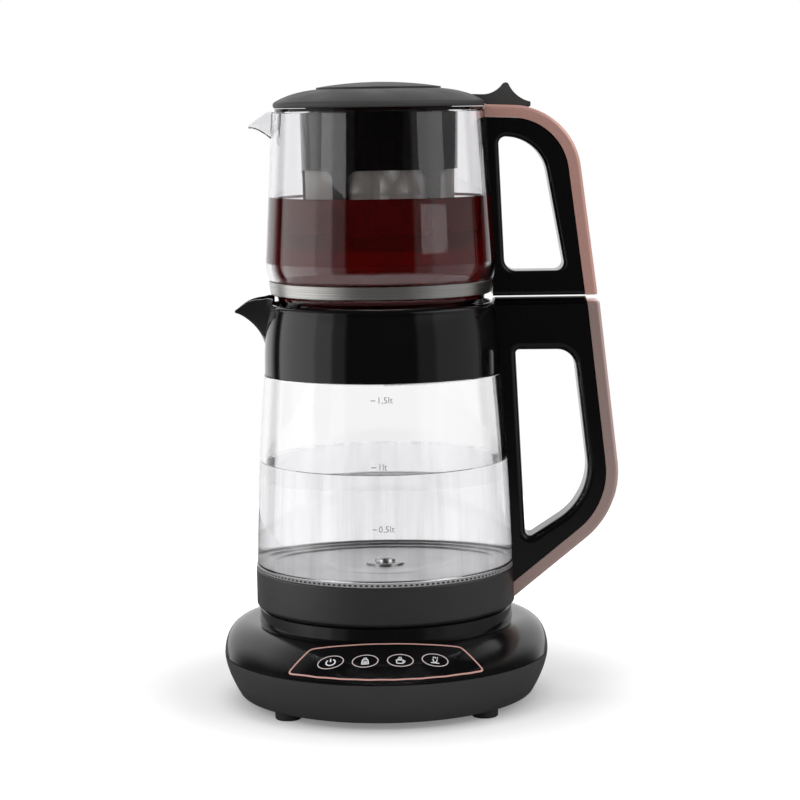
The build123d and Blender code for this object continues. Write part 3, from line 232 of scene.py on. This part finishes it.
screw_steel = metal("screw_steel", (0.5, 0.5, 0.5), 0.35, (700, 700, 700))
pin_steel = metal("pin_steel", (0.6, 0.6, 0.6), 0.25, (60, 900, 60))
brass = metal("brass", (0.72, 0.53, 0.25), 0.3, (500, 500, 40))
alloy = metal("alloy", (0.5, 0.5, 0.5), 0.5, (300, 300, 300))
ROSE_GRAIN = {"streaks": (900, 900, 900), "streak_depth": 0.000006, "fleck": 0.7}
rose_upper = metal("rose_upper", (0.88, 0.50, 0.43), 0.36, metallic=0.6, **ROSE_GRAIN)
rose_lower = metal("rose_lower", (0.92, 0.66, 0.61), 0.36, metallic=0.8, **ROSE_GRAIN)
kettle_glass = glass("kettle_glass", (0.986, 0.982, 0.988))
teapot_glass = glass("teapot_glass", (0.905, 0.899, 0.911))


def plate_material():
    """Turned stainless steel: fine rings about the kettle's axis."""
    made, graph = material("plate_steel")
    place = graph.place()
    rings = graph.node("TexNoise", {"W": graph.from_axis(place), "Scale": 2600.0, "Detail": 3.0},
                       noise_dimensions="1D").outputs["Fac"]
    shader = graph.node("BsdfPrincipled", {
        "Base Color": graph.ramp(rings, (0.3, (0.58, 0.58, 0.59)), (0.7, (0.74, 0.74, 0.74))),
        "Metallic": 1.0,
        "Roughness": graph.spread(graph.noise(place, 40.0, 4.0), 0.3, 0.7, 0.30, 0.40),
        "Normal": graph.bump(rings, 0.000012),
    })
    graph.surface(shader.outputs["BSDF"])
    return made


SEAL_DASHES = 150.0
SEAL_ROW = 0.0748
SEAL_ROW_HALF = 0.0005


def seal_material():
    """Clear silicone with a row of dark dashes round its foot."""
    made, graph = material("glass_seal")
    place = graph.place()
    axes = graph.node("SeparateXYZ", {"Vector": place})
    wave = graph.math("SINE", graph.math("MULTIPLY", graph.around(axes), SEAL_DASHES))
    dash = graph.spread(wave, -0.1, 0.1, 0.0, 1.0)
    row = graph.math("COMPARE", axes.outputs["Z"], SEAL_ROW, SEAL_ROW_HALF)
    mark = graph.math("MULTIPLY", dash, row)
    colour = graph.node("MixRGB", {
        "Fac": mark, "Color1": (0.55, 0.54, 0.55, 1), "Color2": (0.03, 0.03, 0.03, 1),
    }).outputs["Color"]
    shader = graph.node("BsdfPrincipled", {
        "Base Color": colour,
        "Roughness": 0.18,
        "IOR": 1.42,
        "Transmission Weight": 0.45,
        "Normal": graph.bump(graph.noise(place, 400.0, 3.0), 0.00005),
    })
    graph.surface(shader.outputs["BSDF"])
    return made


MESH_RADIUS = 0.042
MESH_PITCH = 0.00125


def mesh_material():
    """Woven wire: wires both ways round the basket, with open holes between."""
    made, graph = material("wire_mesh")
    place = graph.place()
    axes = graph.node("SeparateXYZ", {"Vector": place})
    across = graph.math("MULTIPLY", graph.around(axes), MESH_RADIUS * 2 * math.pi / MESH_PITCH)
    along = graph.math("MULTIPLY", axes.outputs["Z"], 2 * math.pi / MESH_PITCH)
    first = graph.math("SINE", graph.math("ADD", across, along))
    second = graph.math("SINE", graph.math("SUBTRACT", across, along))
    wires = graph.math("MAXIMUM", first, second)
    solid = graph.spread(wires, -0.1, 0.2, 0.0, 1.0)
    steel = graph.node("BsdfPrincipled", {
        "Base Color": (0.62, 0.6, 0.55, 1),
        "Metallic": 0.5,
        "Roughness": 0.4,
        "Normal": graph.bump(wires, 0.0002),
    }).outputs["BSDF"]
    hole = graph.node("BsdfTransparent").outputs["BSDF"]
    graph.surface(graph.node("MixShader", {0: solid, 1: hole, 2: steel}).outputs[0])
    return made


# the liquids' upright streaks are painted shade, standing in for refracted light near the wall
STREAKS_FROM = 0.060       # upright streaks fade in between these distances from the axis
STREAKS_FULL = 0.066


def liquid(name, tint, ior, streak_shade=0.97, diffuse_share=0.0, diffuse=(1, 1, 1), absorption=None,
           density=0.0):
    """Water or tea with upright streaks at its wall, painted shade standing in for refracted light
    there; part of the light may be scattered back.
    """
    made, graph = material(name)
    place = graph.place()
    upright = graph.noise(graph.scaled(place, (1, 1, 0.04)), 130.0, 3.0, 0.6)
    at_wall = graph.spread(graph.from_axis(place), STREAKS_FROM, STREAKS_FULL, 0.0, 1.0)
    # painted shade: the tint darkens in upright streaks close to the wall
    tone = graph.math("MULTIPLY", graph.spread(upright, 0.54, 0.34, 0.0, 1.0), at_wall)
    shader = graph.node("BsdfPrincipled", {
        "Base Color": graph.ramp(tone, (0.0, tint), (1.0, tuple(streak_shade * c for c in tint))),
        "Roughness": 0.0,
        "IOR": ior,
        "Transmission Weight": 1.0,
        "Normal": graph.bump(graph.noise(place, 30.0, 2.0), 0.00002),
    }).outputs["BSDF"]
    if diffuse_share:
        cloud = graph.ramp(graph.noise(place, 16.0, 4.0), (0.3, tuple(0.85 * c for c in diffuse)),
                           (0.7, diffuse))
        body = graph.node("BsdfPrincipled", {
            "Base Color": cloud, "Roughness": 0.02, "IOR": 1.6,
        }).outputs["BSDF"]
        shader = graph.node("MixShader", {0: diffuse_share, 1: shader, 2: body}).outputs[0]
    output = graph.node("OutputMaterial")
    graph.tree.links.new(shader, output.inputs["Surface"])
    if absorption:
        volume = graph.node("VolumeAbsorption", {"Color": (*absorption, 1), "Density": density})
        graph.tree.links.new(volume.outputs["Volume"], output.inputs["Volume"])
    return made


FINISHES = {
    "base_lower_shell": shell_satin,
    "base_top_cover": cover_black,
    "control_panel": panel_black,
    "foot_front_left": foot_rubber,
    "foot_front_right": foot_rubber,
    "foot_rear_left": foot_rubber,
    "foot_rear_right": foot_rubber,
    "control_board": board_green,
    "touch_sensors": film_copper,
    "status_leds": led_white,
    "speaker": inner_black,
    "base_screws": screw_steel,
    "cord_gland": gland_rubber,
    "power_coupler": inner_black,
    "coupler_contacts": brass,
    "kettle_skirt": skirt_satin,
    "kettle_bottom_cover": inner_black,
    "glass_seal": seal_material(),
    "heater_plate": plate_material(),
    "heating_element": alloy,
    "sensor_probe": pin_steel,
    "thermostat_block": inner_black,
    "coupler_socket": inner_black,
    "socket_contacts": brass,
    "kettle_screws": screw_steel,
    "kettle_glass": kettle_glass,
    "collar_gasket": silicone,
    "kettle_collar": collar_black,
    "kettle_handle": gloss_black,
    "kettle_handle_trim": rose_lower,
    "kettle_handle_cap": gloss_black,
    "teapot_glass": teapot_glass,
    "teapot_band": steel_band,
    "teapot_handle": gloss_black,
    "teapot_handle_trim": rose_upper,
    "hinge_pin": pin_steel,
    "infuser_frame": infuser_black,
    "infuser_mesh": mesh_material(),
    "lid_cover": lid_matte,
    "lid_disc": lid_matte,
    "lid_liner": inner_black,
    "lid_gasket": silicone,
}
for node, made in FINISHES.items():
    finish(node, made)

# ------------------------------------------------------------------ added pieces


def add_mesh(name, vertices, faces, made, body, smooth=True):
    """A finished piece from its corners, riding on a body and painted with the given material."""
    mesh = bpy.data.meshes.new(name)
    mesh.from_pydata([tuple(v) for v in vertices], [], faces)
    mesh.validate()
    mesh.update()
    for polygon in mesh.polygons:
        polygon.use_smooth = smooth
    mesh.materials.append(made)
    piece = bpy.data.objects.new(name, mesh)
    bpy.context.scene.collection.objects.link(piece)
    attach(piece, body)
    return piece


def turned(name, profile, made, body, steps=128):
    """A closed turned body from a profile of (radius, height) in millimetres, bottom to top."""
    vertices = [(0, 0, profile[0][1] * MM)]
    for radius, height in profile[1:-1]:
        for step in range(steps):
            angle = 2 * math.pi * step / steps
            vertices.append((radius * MM * math.cos(angle), radius * MM * math.sin(angle), height * MM))
    vertices.append((0, 0, profile[-1][1] * MM))
    last = len(vertices) - 1
    rings = len(profile) - 2
    faces = []
    for step in range(steps):
        following = (step + 1) % steps
        faces.append((0, 1 + following, 1 + step))
        for ring in range(rings - 1):
            low = 1 + ring * steps
            faces.append((low + step, low + following, low + steps + following, low + steps + step))
        top = 1 + (rings - 1) * steps
        faces.append((top + step, top + following, last))
    return add_mesh(name, vertices, faces, made, body)


def circle_through(first, middle, last):
    """The centre and radius of the circle through three points."""
    (x1, y1), (x2, y2), (x3, y3) = first, middle, last
    s1, s2, s3 = x1**2 + y1**2, x2**2 + y2**2, x3**2 + y3**2
    d = 2 * (x1 * (y2 - y3) + x2 * (y3 - y1) + x3 * (y1 - y2))
    centre_x = (s1 * (y2 - y3) + s2 * (y3 - y1) + s3 * (y1 - y2)) / d
    centre_y = (s1 * (x3 - x2) + s2 * (x1 - x3) + s3 * (x2 - x1)) / d
    return centre_x, centre_y, math.hypot(x1 - centre_x, y1 - centre_y)


def arc_radius(points, height):
    """The radius at a height on the circle through three (radius, height) points."""
    centre_x, centre_y, reach = circle_through(*points)
    side = 1 if points[1][0] > centre_x else -1
    return centre_x + side * math.sqrt(reach**2 - (height - centre_y) ** 2)


# (radius, height) in millimetres
KETTLE_INSIDE = [(70.8, 76.4), (68.3, 138.0), (65.0, 184.0)]
KETTLE_OUTSIDE = [(74.0, 76.4), (71.5, 138.0), (68.2, 184.8)]
WATER_FOOT = [(0, 73.6), (60, 73.6), (69.6, 75.2)]
WATER_WALL = 76.6          # where the water's wall begins
WATER_LEVEL = 135.0
TEA_FOOT = [(0, 224.7), (48, 224.7), (51.5, 225.1), (54.6, 226.7), (56.4, 229.0), (56.8, 230.0),
            (60.4, 231.9), (60.75, 239.1), (62.0, 243.5), (62.9, 247.5)]
TEA_WALL = 250.7
TEA_LEVEL = 286.0
TEAPOT_WIDEST = 63.0       # inside the teapot, at the foot of its straight wall
TEAPOT_NARROWS = 5.3       # over the height of that wall
TEAPOT_WALL_HEIGHT = 83.3
SINK = 0.08                # how far a liquid reaches into the wall that holds it

# how a liquid creeps up its wall: (in from the wall, above the level), from the wall to the flat
WATER_CREEP = [(0, 0.9), (0.5, 0.35), (1.3, 0.08), (2.6, 0), (10, 0)]
TEA_CREEP = [(0, 0.8), (0.5, 0.3), (1.2, 0.07), (2.5, 0), (9, 0)]
CREEP_LIP = 0.1            # a short last step keeps the wall's shading flat up to its edge


def filling(foot, wall_radius, low, level, creep, steps):
    """The profile of a liquid: its foot, the wall it leans on and its surface."""
    high = level + (creep[0][1] - CREEP_LIP)
    profile = list(foot)
    for step in range(steps + 1):
        height = low + (high - low) * step / steps
        profile.append((wall_radius(height) + SINK, height))
    wall = profile[-1][0]
    return profile + [(wall - inward, level + up) for inward, up in creep] + [(0, level)]


def kettle_wall(height):
    return arc_radius(KETTLE_INSIDE, height)


def teapot_wall(height):
    return TEAPOT_WIDEST - TEAPOT_NARROWS * (height - TEA_WALL) / TEAPOT_WALL_HEIGHT


water_clear = liquid("water_clear", (0.895, 0.895, 0.903), 1.1, streak_shade=0.86)
tea_red = liquid("tea_red", (0.62, 0.10, 0.09), 1.33, diffuse_share=0.55, diffuse=(0.15, 0.0006, 0.0012),
                 absorption=(0.85, 0.03, 0.02), density=90.0)
turned("water", filling(WATER_FOOT, kettle_wall, WATER_WALL, WATER_LEVEL, WATER_CREEP, 14),
       water_clear, "kettle")
turned("tea", filling(TEA_FOOT, teapot_wall, TEA_WALL, TEA_LEVEL, TEA_CREEP, 6),
       tea_red, "teapot")

# ------------------------------------------------------------------ printed signs


def print_material(name, colour, roughness):
    """Printed ink: a faint grain."""
    made, graph = material(name)
    place = graph.place()
    tone = graph.noise(place, 1800.0, 3.0)
    shader = graph.node("BsdfPrincipled", {
        "Base Color": graph.ramp(tone, (0.3, tuple(c * 0.9 for c in colour)), (0.7, colour)),
        "Roughness": roughness,
        "Normal": graph.bump(tone, 0.000004),
    })
    graph.surface(shader.outputs["BSDF"])
    return made


rose_print = print_material("rose_print", (0.60, 0.34, 0.30), 0.4)
pale_print = print_material("pale_print", (0.72, 0.62, 0.60), 0.4)
white_print = print_material("white_print", (0.9, 0.9, 0.9), 0.4)
grey_print = print_material("grey_print", (0.30, 0.30, 0.31), 0.5)

PRINT_PROUD = 0.06
PRINT_SUNK = 0.04


def ribbon(points, width, closed=False):
    """Corners and faces of a flat line of a width through points, in its own plane."""
    count = len(points)
    left, right = [], []
    for index in range(count):
        before = points[index - 1] if (closed or index > 0) else points[index]
        after = points[(index + 1) % count] if (closed or index < count - 1) else points[index]
        way = (Vector(after) - Vector(before)).normalized()
        side = Vector((-way.y, way.x)) * width / 2
        left.append(Vector(points[index]) + side)
        right.append(Vector(points[index]) - side)
    vertices = left + right
    faces = []
    for index in range(count if closed else count - 1):
        after = (index + 1) % count
        faces.append((index, after, count + after, count + index))
    return vertices, faces


def oval_line(x, y, half_width, half_height, start=0.0, end=360.0, steps=48):
    closed = end - start >= 360
    total = steps if closed else steps + 1
    return [
        (x + half_width * math.cos(math.radians(start + (end - start) * step / steps)),
         y + half_height * math.sin(math.radians(start + (end - start) * step / steps)))
        for step in range(total)
    ]


def rounded(corners, radius, steps=6):
    """A closed line through corners, each rounded off."""
    line = []
    count = len(corners)
    for index in range(count):
        here = Vector(corners[index])
        before = (Vector(corners[index - 1]) - here)
        after = (Vector(corners[(index + 1) % count]) - here)
        cut = min(radius, before.length * 0.45, after.length * 0.45)
        start = here + before.normalized() * cut
        end = here + after.normalized() * cut
        for step in range(steps + 1):
            t = step / steps
            line.append(tuple((1 - t) ** 2 * start + 2 * t * (1 - t) * here + t**2 * end))
    return line


def subdivided(points, longest, closed=False):
    made = []
    count = len(points)
    for index in range(count if closed else count - 1):
        start, end = Vector(points[index]), Vector(points[(index + 1) % count])
        parts = max(1, math.ceil((end - start).length / longest))
        made += [tuple(start.lerp(end, part / parts)) for part in range(parts)]
    if not closed:
        made.append(tuple(points[-1]))
    return made


def thick_print(name, flats, place_on, made, body):
    """A thin closed print from flat (vertices, faces) sheets, laid down by place_on(x, y, lift)."""
    vertices, faces = [], []
    for flat_vertices, flat_faces in flats:
        base = len(vertices)
        count = len(flat_vertices)
        vertices += [place_on(v[0], v[1], PRINT_PROUD) for v in flat_vertices]
        vertices += [place_on(v[0], v[1], -PRINT_SUNK) for v in flat_vertices]
        edges = {}
        for face in flat_faces:
            faces.append(tuple(base + index for index in face))
            faces.append(tuple(base + count + index for index in reversed(face)))
            for start, end in zip(face, face[1:] + face[:1]):
                edges[(start, end)] = edges.get((start, end), 0) + 1
        for start, end in edges:
            if (end, start) not in edges:
                faces.append((base + end, base + start, base + count + start, base + count + end))
    return add_mesh(name, vertices, faces, made, body, smooth=False)


panel_tree = BVHTree.FromObject(nodes["control_panel"], bpy.context.evaluated_depsgraph_get())


def on_panel(x, y, lift):
    """A point above the control panel, x and y in millimetres seen from above."""
    hit, normal, _, _ = panel_tree.ray_cast(Vector((x * MM, y * MM, 0.2)), Vector((0, 0, -1)))
    if hit is None:
        raise ValueError(f"the panel isn't under {x}, {y}")
    return hit + normal * lift * MM


def on_kettle(x, height, lift):
    """A point on the front of the kettle's glass, x along its surface from the middle."""
    radius = arc_radius(KETTLE_OUTSIDE, height)
    angle = x / radius - math.pi / 2
    reach = (radius + lift) * MM
    return Vector((reach * math.cos(angle), reach * math.sin(angle), height * MM))


def through(first, middle, last, steps=24):
    """Points of an arc through three points."""
    centre_x, centre_y, reach = circle_through(first, middle, last)
    start = math.atan2(first[1] - centre_y, first[0] - centre_x)
    end = math.atan2(last[1] - centre_y, last[0] - centre_x)
    return [
        (centre_x + reach * math.cos(start + (end - start) * step / steps),
         centre_y + reach * math.sin(start + (end - start) * step / steps))
        for step in range(steps + 1)
    ]


OUTLINE_WIDTH = 1.0
OUTLINE_FRONT = [(-53.6, -88.4), (0, -106.0), (53.6, -88.4)]
OUTLINE_REAR = [(41.6, -74.2), (0, -76.4), (-41.6, -74.2)]
OUTLINE_CORNER = 2.2
PRINT_STEP = 1.5           # the longest straight piece of a print that follows the panel
front_line = through(*OUTLINE_FRONT)
rear_line = through(*OUTLINE_REAR)
corners = front_line[:1] + front_line[1:-1:3] + front_line[-1:] + rear_line[::6]
outline = subdivided(rounded(corners, OUTLINE_CORNER, 4), PRINT_STEP, closed=True)
thick_print("panel_outline", [ribbon(outline, OUTLINE_WIDTH, closed=True)], on_panel,
            rose_print, "base")

KEYS = [(-30.2, -88.4), (-11.2, -90.6), (8.0, -90.6), (27.0, -88.4)]
KEY_HALF_WIDTH = 7.05
KEY_HALF_HEIGHT = 4.9
RING_WIDTH = 0.5
rings = [ribbon(oval_line(x, y, KEY_HALF_WIDTH, KEY_HALF_HEIGHT), RING_WIDTH, closed=True)
         for x, y in KEYS]
thick_print("key_rings", rings, on_panel, pale_print, "base")


def power_sign(x, y):
    return [
        ribbon(oval_line(x, y - 0.2, 2.5, 2.3, 125, 415, 28), 0.7),
        ribbon([(x, y + 0.2), (x, y + 2.7)], 0.7),
    ]


def jug_sign(x, y):
    return [
        ribbon(subdivided([(x - 1.9, y - 2.4), (x - 1.5, y + 1.0), (x + 1.4, y + 1.0),
                           (x + 1.8, y - 2.4)], 1.0, closed=True), 0.6, closed=True),
        ribbon([(x - 0.9, y + 1.4), (x - 0.6, y + 2.4), (x + 0.7, y + 2.4), (x + 0.9, y + 1.4)], 0.5),
        ribbon([(x - 1.1, y - 0.6), (x + 1.0, y - 0.6)], 0.5),
        ribbon([(x - 1.3, y - 1.5), (x + 1.2, y - 1.5)], 0.5),
    ]


def pot_sign(x, y):
    return [
        ribbon(subdivided([(x - 1.9, y - 2.4), (x - 2.2, y + 0.2), (x + 1.6, y + 0.2),
                           (x + 1.4, y - 2.4)], 1.0, closed=True), 0.6, closed=True),
        ribbon([(x + 1.6, y - 0.2), (x + 2.6, y - 0.4), (x + 2.2, y - 1.7), (x + 1.5, y - 1.8)], 0.5),
        ribbon([(x - 1.6, y + 1.0), (x + 1.1, y + 1.0)], 0.5),
        ribbon([(x - 0.9, y + 1.5), (x - 0.7, y + 2.5), (x + 0.4, y + 2.5), (x + 0.6, y + 1.5)], 0.5),
    ]


def glass_sign(x, y):
    return [
        ribbon([(x - 1.3, y + 0.6), (x - 0.8, y - 0.6), (x - 1.1, y - 1.7), (x + 1.1, y - 1.7),
                (x + 0.8, y - 0.6), (x + 1.3, y + 0.6)], 0.5),
        ribbon([(x - 2.3, y - 2.4), (x + 2.3, y - 2.4)], 0.55),
        ribbon([(x - 1.0, y + 1.3), (x - 0.7, y + 2.5)], 0.45),
        ribbon([(x + 0.2, y + 1.3), (x + 0.0, y + 2.5)], 0.45),
        ribbon([(x + 1.1, y + 1.3), (x + 1.3, y + 2.5)], 0.45),
    ]


signs = []
for draw, (x, y) in zip((power_sign, jug_sign, pot_sign, glass_sign), KEYS):
    signs += draw(x, y)
thick_print("key_signs", signs, on_panel, white_print, "base")


def number_flat(text, size):
    """A number as a flat sheet, its left end at x 0 and its foot at y 0, in millimetres."""
    curve = bpy.data.curves.new("number", "FONT")
    curve.body = text
    curve.size = size
    curve.align_x = "LEFT"
    curve.resolution_u = 3
    holder = bpy.data.objects.new("number", curve)
    bpy.context.scene.collection.objects.link(holder)
    bpy.context.view_layer.update()
    mesh = bpy.data.meshes.new_from_object(holder.evaluated_get(bpy.context.evaluated_depsgraph_get()))
    vertices = [(v.co.x, v.co.y) for v in mesh.vertices]
    faces = [tuple(p.vertices) for p in mesh.polygons]
    bpy.data.objects.remove(holder)
    bpy.data.curves.remove(curve)
    bpy.data.meshes.remove(mesh)
    return vertices, faces


LEVELS = (("1,5lt", 177.0), ("1lt", 140.3), ("0,5lt", 106.0))
NUMBER_SIZE = 5.0
NUMBER_DROP = 1.5          # from the mark's line down to the number's foot
MARK_START = -6.4
NUMBER_START = -3.0
MARK_GAP = 0.8
MARK_WIDTH = 0.5
marks = []
for text, height in LEVELS:
    vertices, faces = number_flat(text, NUMBER_SIZE)
    marks.append(([(x + NUMBER_START, y + height - NUMBER_DROP) for x, y in vertices], faces))
    marks.append(ribbon([(MARK_START, height), (NUMBER_START - MARK_GAP, height)], MARK_WIDTH))
thick_print("level_marks", marks, on_kettle, grey_print, "kettle")

# ------------------------------------------------------------------ floor and light

FLOOR_RADIUS = 0.7        # a disc, so that level black faces don't mirror a white floor far away
FLOOR_SIDES = 120
FLOOR_TONE = 0.8
# painted reflection: mirrors see the floor at a darker tone than it has
FLOOR_MIRRORED_TONE = 0.2  # black faces see a darker floor
# the floor's own glow grows away from the object, so the floor near it keeps a painted shadow: (from,
# to, glow near, glow far)
GLOW_SEEN = (0.12, 0.26, 0.20, 0.75)
GLOW_THROUGH_GLASS = (0.13, 0.40, 0.20, 0.34)

floor_mesh = bpy.data.meshes.new("floor")
floor_edge = []
for side in range(FLOOR_SIDES):
    angle = math.radians(360 / FLOOR_SIDES * side)
    floor_edge.append((FLOOR_RADIUS * math.cos(angle), FLOOR_RADIUS * math.sin(angle), 0))
floor_mesh.from_pydata(floor_edge, [], [tuple(range(FLOOR_SIDES))])
floor = bpy.data.objects.new("floor", floor_mesh)
bpy.context.scene.collection.objects.link(floor)
floor_white, graph = material("floor_white")
paths = graph.node("LightPath")
away = graph.from_axis(graph.place())
clear = paths.outputs["Is Transmission Ray"]
# painted shadow: the glow is weaker near the object, seen directly and through glass
seen = graph.math("MULTIPLY", paths.outputs["Is Camera Ray"], graph.spread(away, *GLOW_SEEN))
through_glass = graph.math("MULTIPLY", clear, graph.spread(away, *GLOW_THROUGH_GLASS))
reflected = graph.math("MULTIPLY", paths.outputs["Is Glossy Ray"], graph.math("SUBTRACT", 1.0, clear))
tone = graph.math("SUBTRACT", FLOOR_TONE,
                  graph.math("MULTIPLY", reflected, FLOOR_TONE - FLOOR_MIRRORED_TONE))
lit = graph.node("BsdfDiffuse", {"Color": graph.ramp(tone, (0.0, 0.0), (1.0, 1.0))}).outputs[0]
glow = graph.node("Emission", {"Color": (1, 1, 1, 1),
                               "Strength": graph.math("MAXIMUM", seen, through_glass)}).outputs[0]
graph.surface(graph.node("AddShader", {0: lit, 1: glow}).outputs[0])
floor_mesh.materials.append(floor_white)


def softbox(name, place, target, width, height, power):
    """A rectangular lamp that shades the object but isn't mirrored in it."""
    lamp = bpy.data.lights.new(name, "AREA")
    lamp.shape = "RECTANGLE"
    lamp.size = width
    lamp.size_y = height
    lamp.energy = power
    holder = bpy.data.objects.new(name, lamp)
    bpy.context.scene.collection.objects.link(holder)
    holder.location = place
    way = Vector(target) - Vector(place)
    holder.rotation_euler = way.to_track_quat("-Z", "Y").to_euler()
    holder.visible_glossy = False
    return holder


softbox("key_left", (-1.3, -1.1, 1.0), (0, 0, 0.15), 1.0, 1.2, 9.0)
softbox("key_right", (1.4, -0.9, 0.9), (0, 0, 0.15), 1.0, 1.2, 7.0)
softbox("top", (0, 0.1, 1.9), (0, 0, 0), 1.6, 1.6, 14.0)

world = bpy.data.worlds.new("studio")
bpy.context.scene.world = world
world.use_nodes = True
graph = Graph(world.node_tree)
paths = graph.node("LightPath")
way = graph.node("SeparateXYZ", {"Vector": graph.node("TexCoord").outputs["Generated"]})
# angle from the viewer's side, in degrees: 0 at the front, positive to the right
turn = graph.math("MULTIPLY", graph.math("ARCTAN2", way.outputs["X"],
                                         graph.math("MULTIPLY", way.outputs["Y"], -1.0)),
                  180 / math.pi)
level = graph.math("MULTIPLY", graph.math("ARCSINE", way.outputs["Z"]), 180 / math.pi)

# panels as (from, to, strength), in degrees of turn; they stand between two levels
LEFT_PANELS = [(-50, -36, 0.3), (-69, -50, 0.9), (-119, -69, 1.35)]
RIGHT_PANELS = [(35, 54, 0.2), (54, 109, 0.42)]
PANEL_LEVELS = (-25, 50)
LEFT_UPPER = 0.25          # strength of the panels' upper part against the lower
RIGHT_UPPER = 2.8
UPPER_FROM = (12, 28)
BACKDROP_TURN = (128, 140)
BACKDROP_LEVELS = (-60, 50)
STUDIO_DARK = 0.02
AMBIENT = 0.55


def band(value, low, high, soft):
    """1 between two angles, with soft ends."""
    rise = graph.spread(value, low - soft, low + soft, 0.0, 1.0)
    fall = graph.spread(value, high - soft, high + soft, 1.0, 0.0)
    return graph.math("MULTIPLY", rise, fall)


def standing(panels, upper):
    """Panels side by side at the height of the object, with another strength in their upper part."""
    total = 0.0
    for low, high, power in panels:
        total = graph.math("ADD", total, graph.math("MULTIPLY", band(turn, low, high, 1.5), power))
    total = graph.math("MULTIPLY", total, band(level, *PANEL_LEVELS, 4))
    return graph.math("MULTIPLY", total, graph.spread(level, *UPPER_FROM, 1.0, upper))


boxes = graph.math("ADD", standing(LEFT_PANELS, LEFT_UPPER), standing(RIGHT_PANELS, RIGHT_UPPER))
backdrop = graph.math("MULTIPLY", graph.spread(graph.math("ABSOLUTE", turn), *BACKDROP_TURN, 0.0, 1.0),
                      band(level, *BACKDROP_LEVELS, 8))
studio = graph.math("ADD", boxes, graph.math("ADD", backdrop, STUDIO_DARK))

# mirrors and glass see the studio, diffuse light is even, and the camera sees white
mirrored = graph.math("MAXIMUM", paths.outputs["Is Glossy Ray"], paths.outputs["Is Transmission Ray"])
strength = graph.math("ADD", graph.math("MULTIPLY", mirrored, studio),
                      graph.math("MULTIPLY", graph.math("SUBTRACT", 1.0, mirrored), AMBIENT))
unseen = graph.math("SUBTRACT", 1.0, paths.outputs["Is Camera Ray"])
strength = graph.math("ADD", graph.math("MULTIPLY", strength, unseen), paths.outputs["Is Camera Ray"])
background = graph.node("Background", {"Color": (1, 1, 1, 1), "Strength": strength})
graph.tree.links.new(background.outputs[0], graph.node("OutputWorld").inputs["Surface"])

bpy.context.scene.view_settings.view_transform = "Standard"
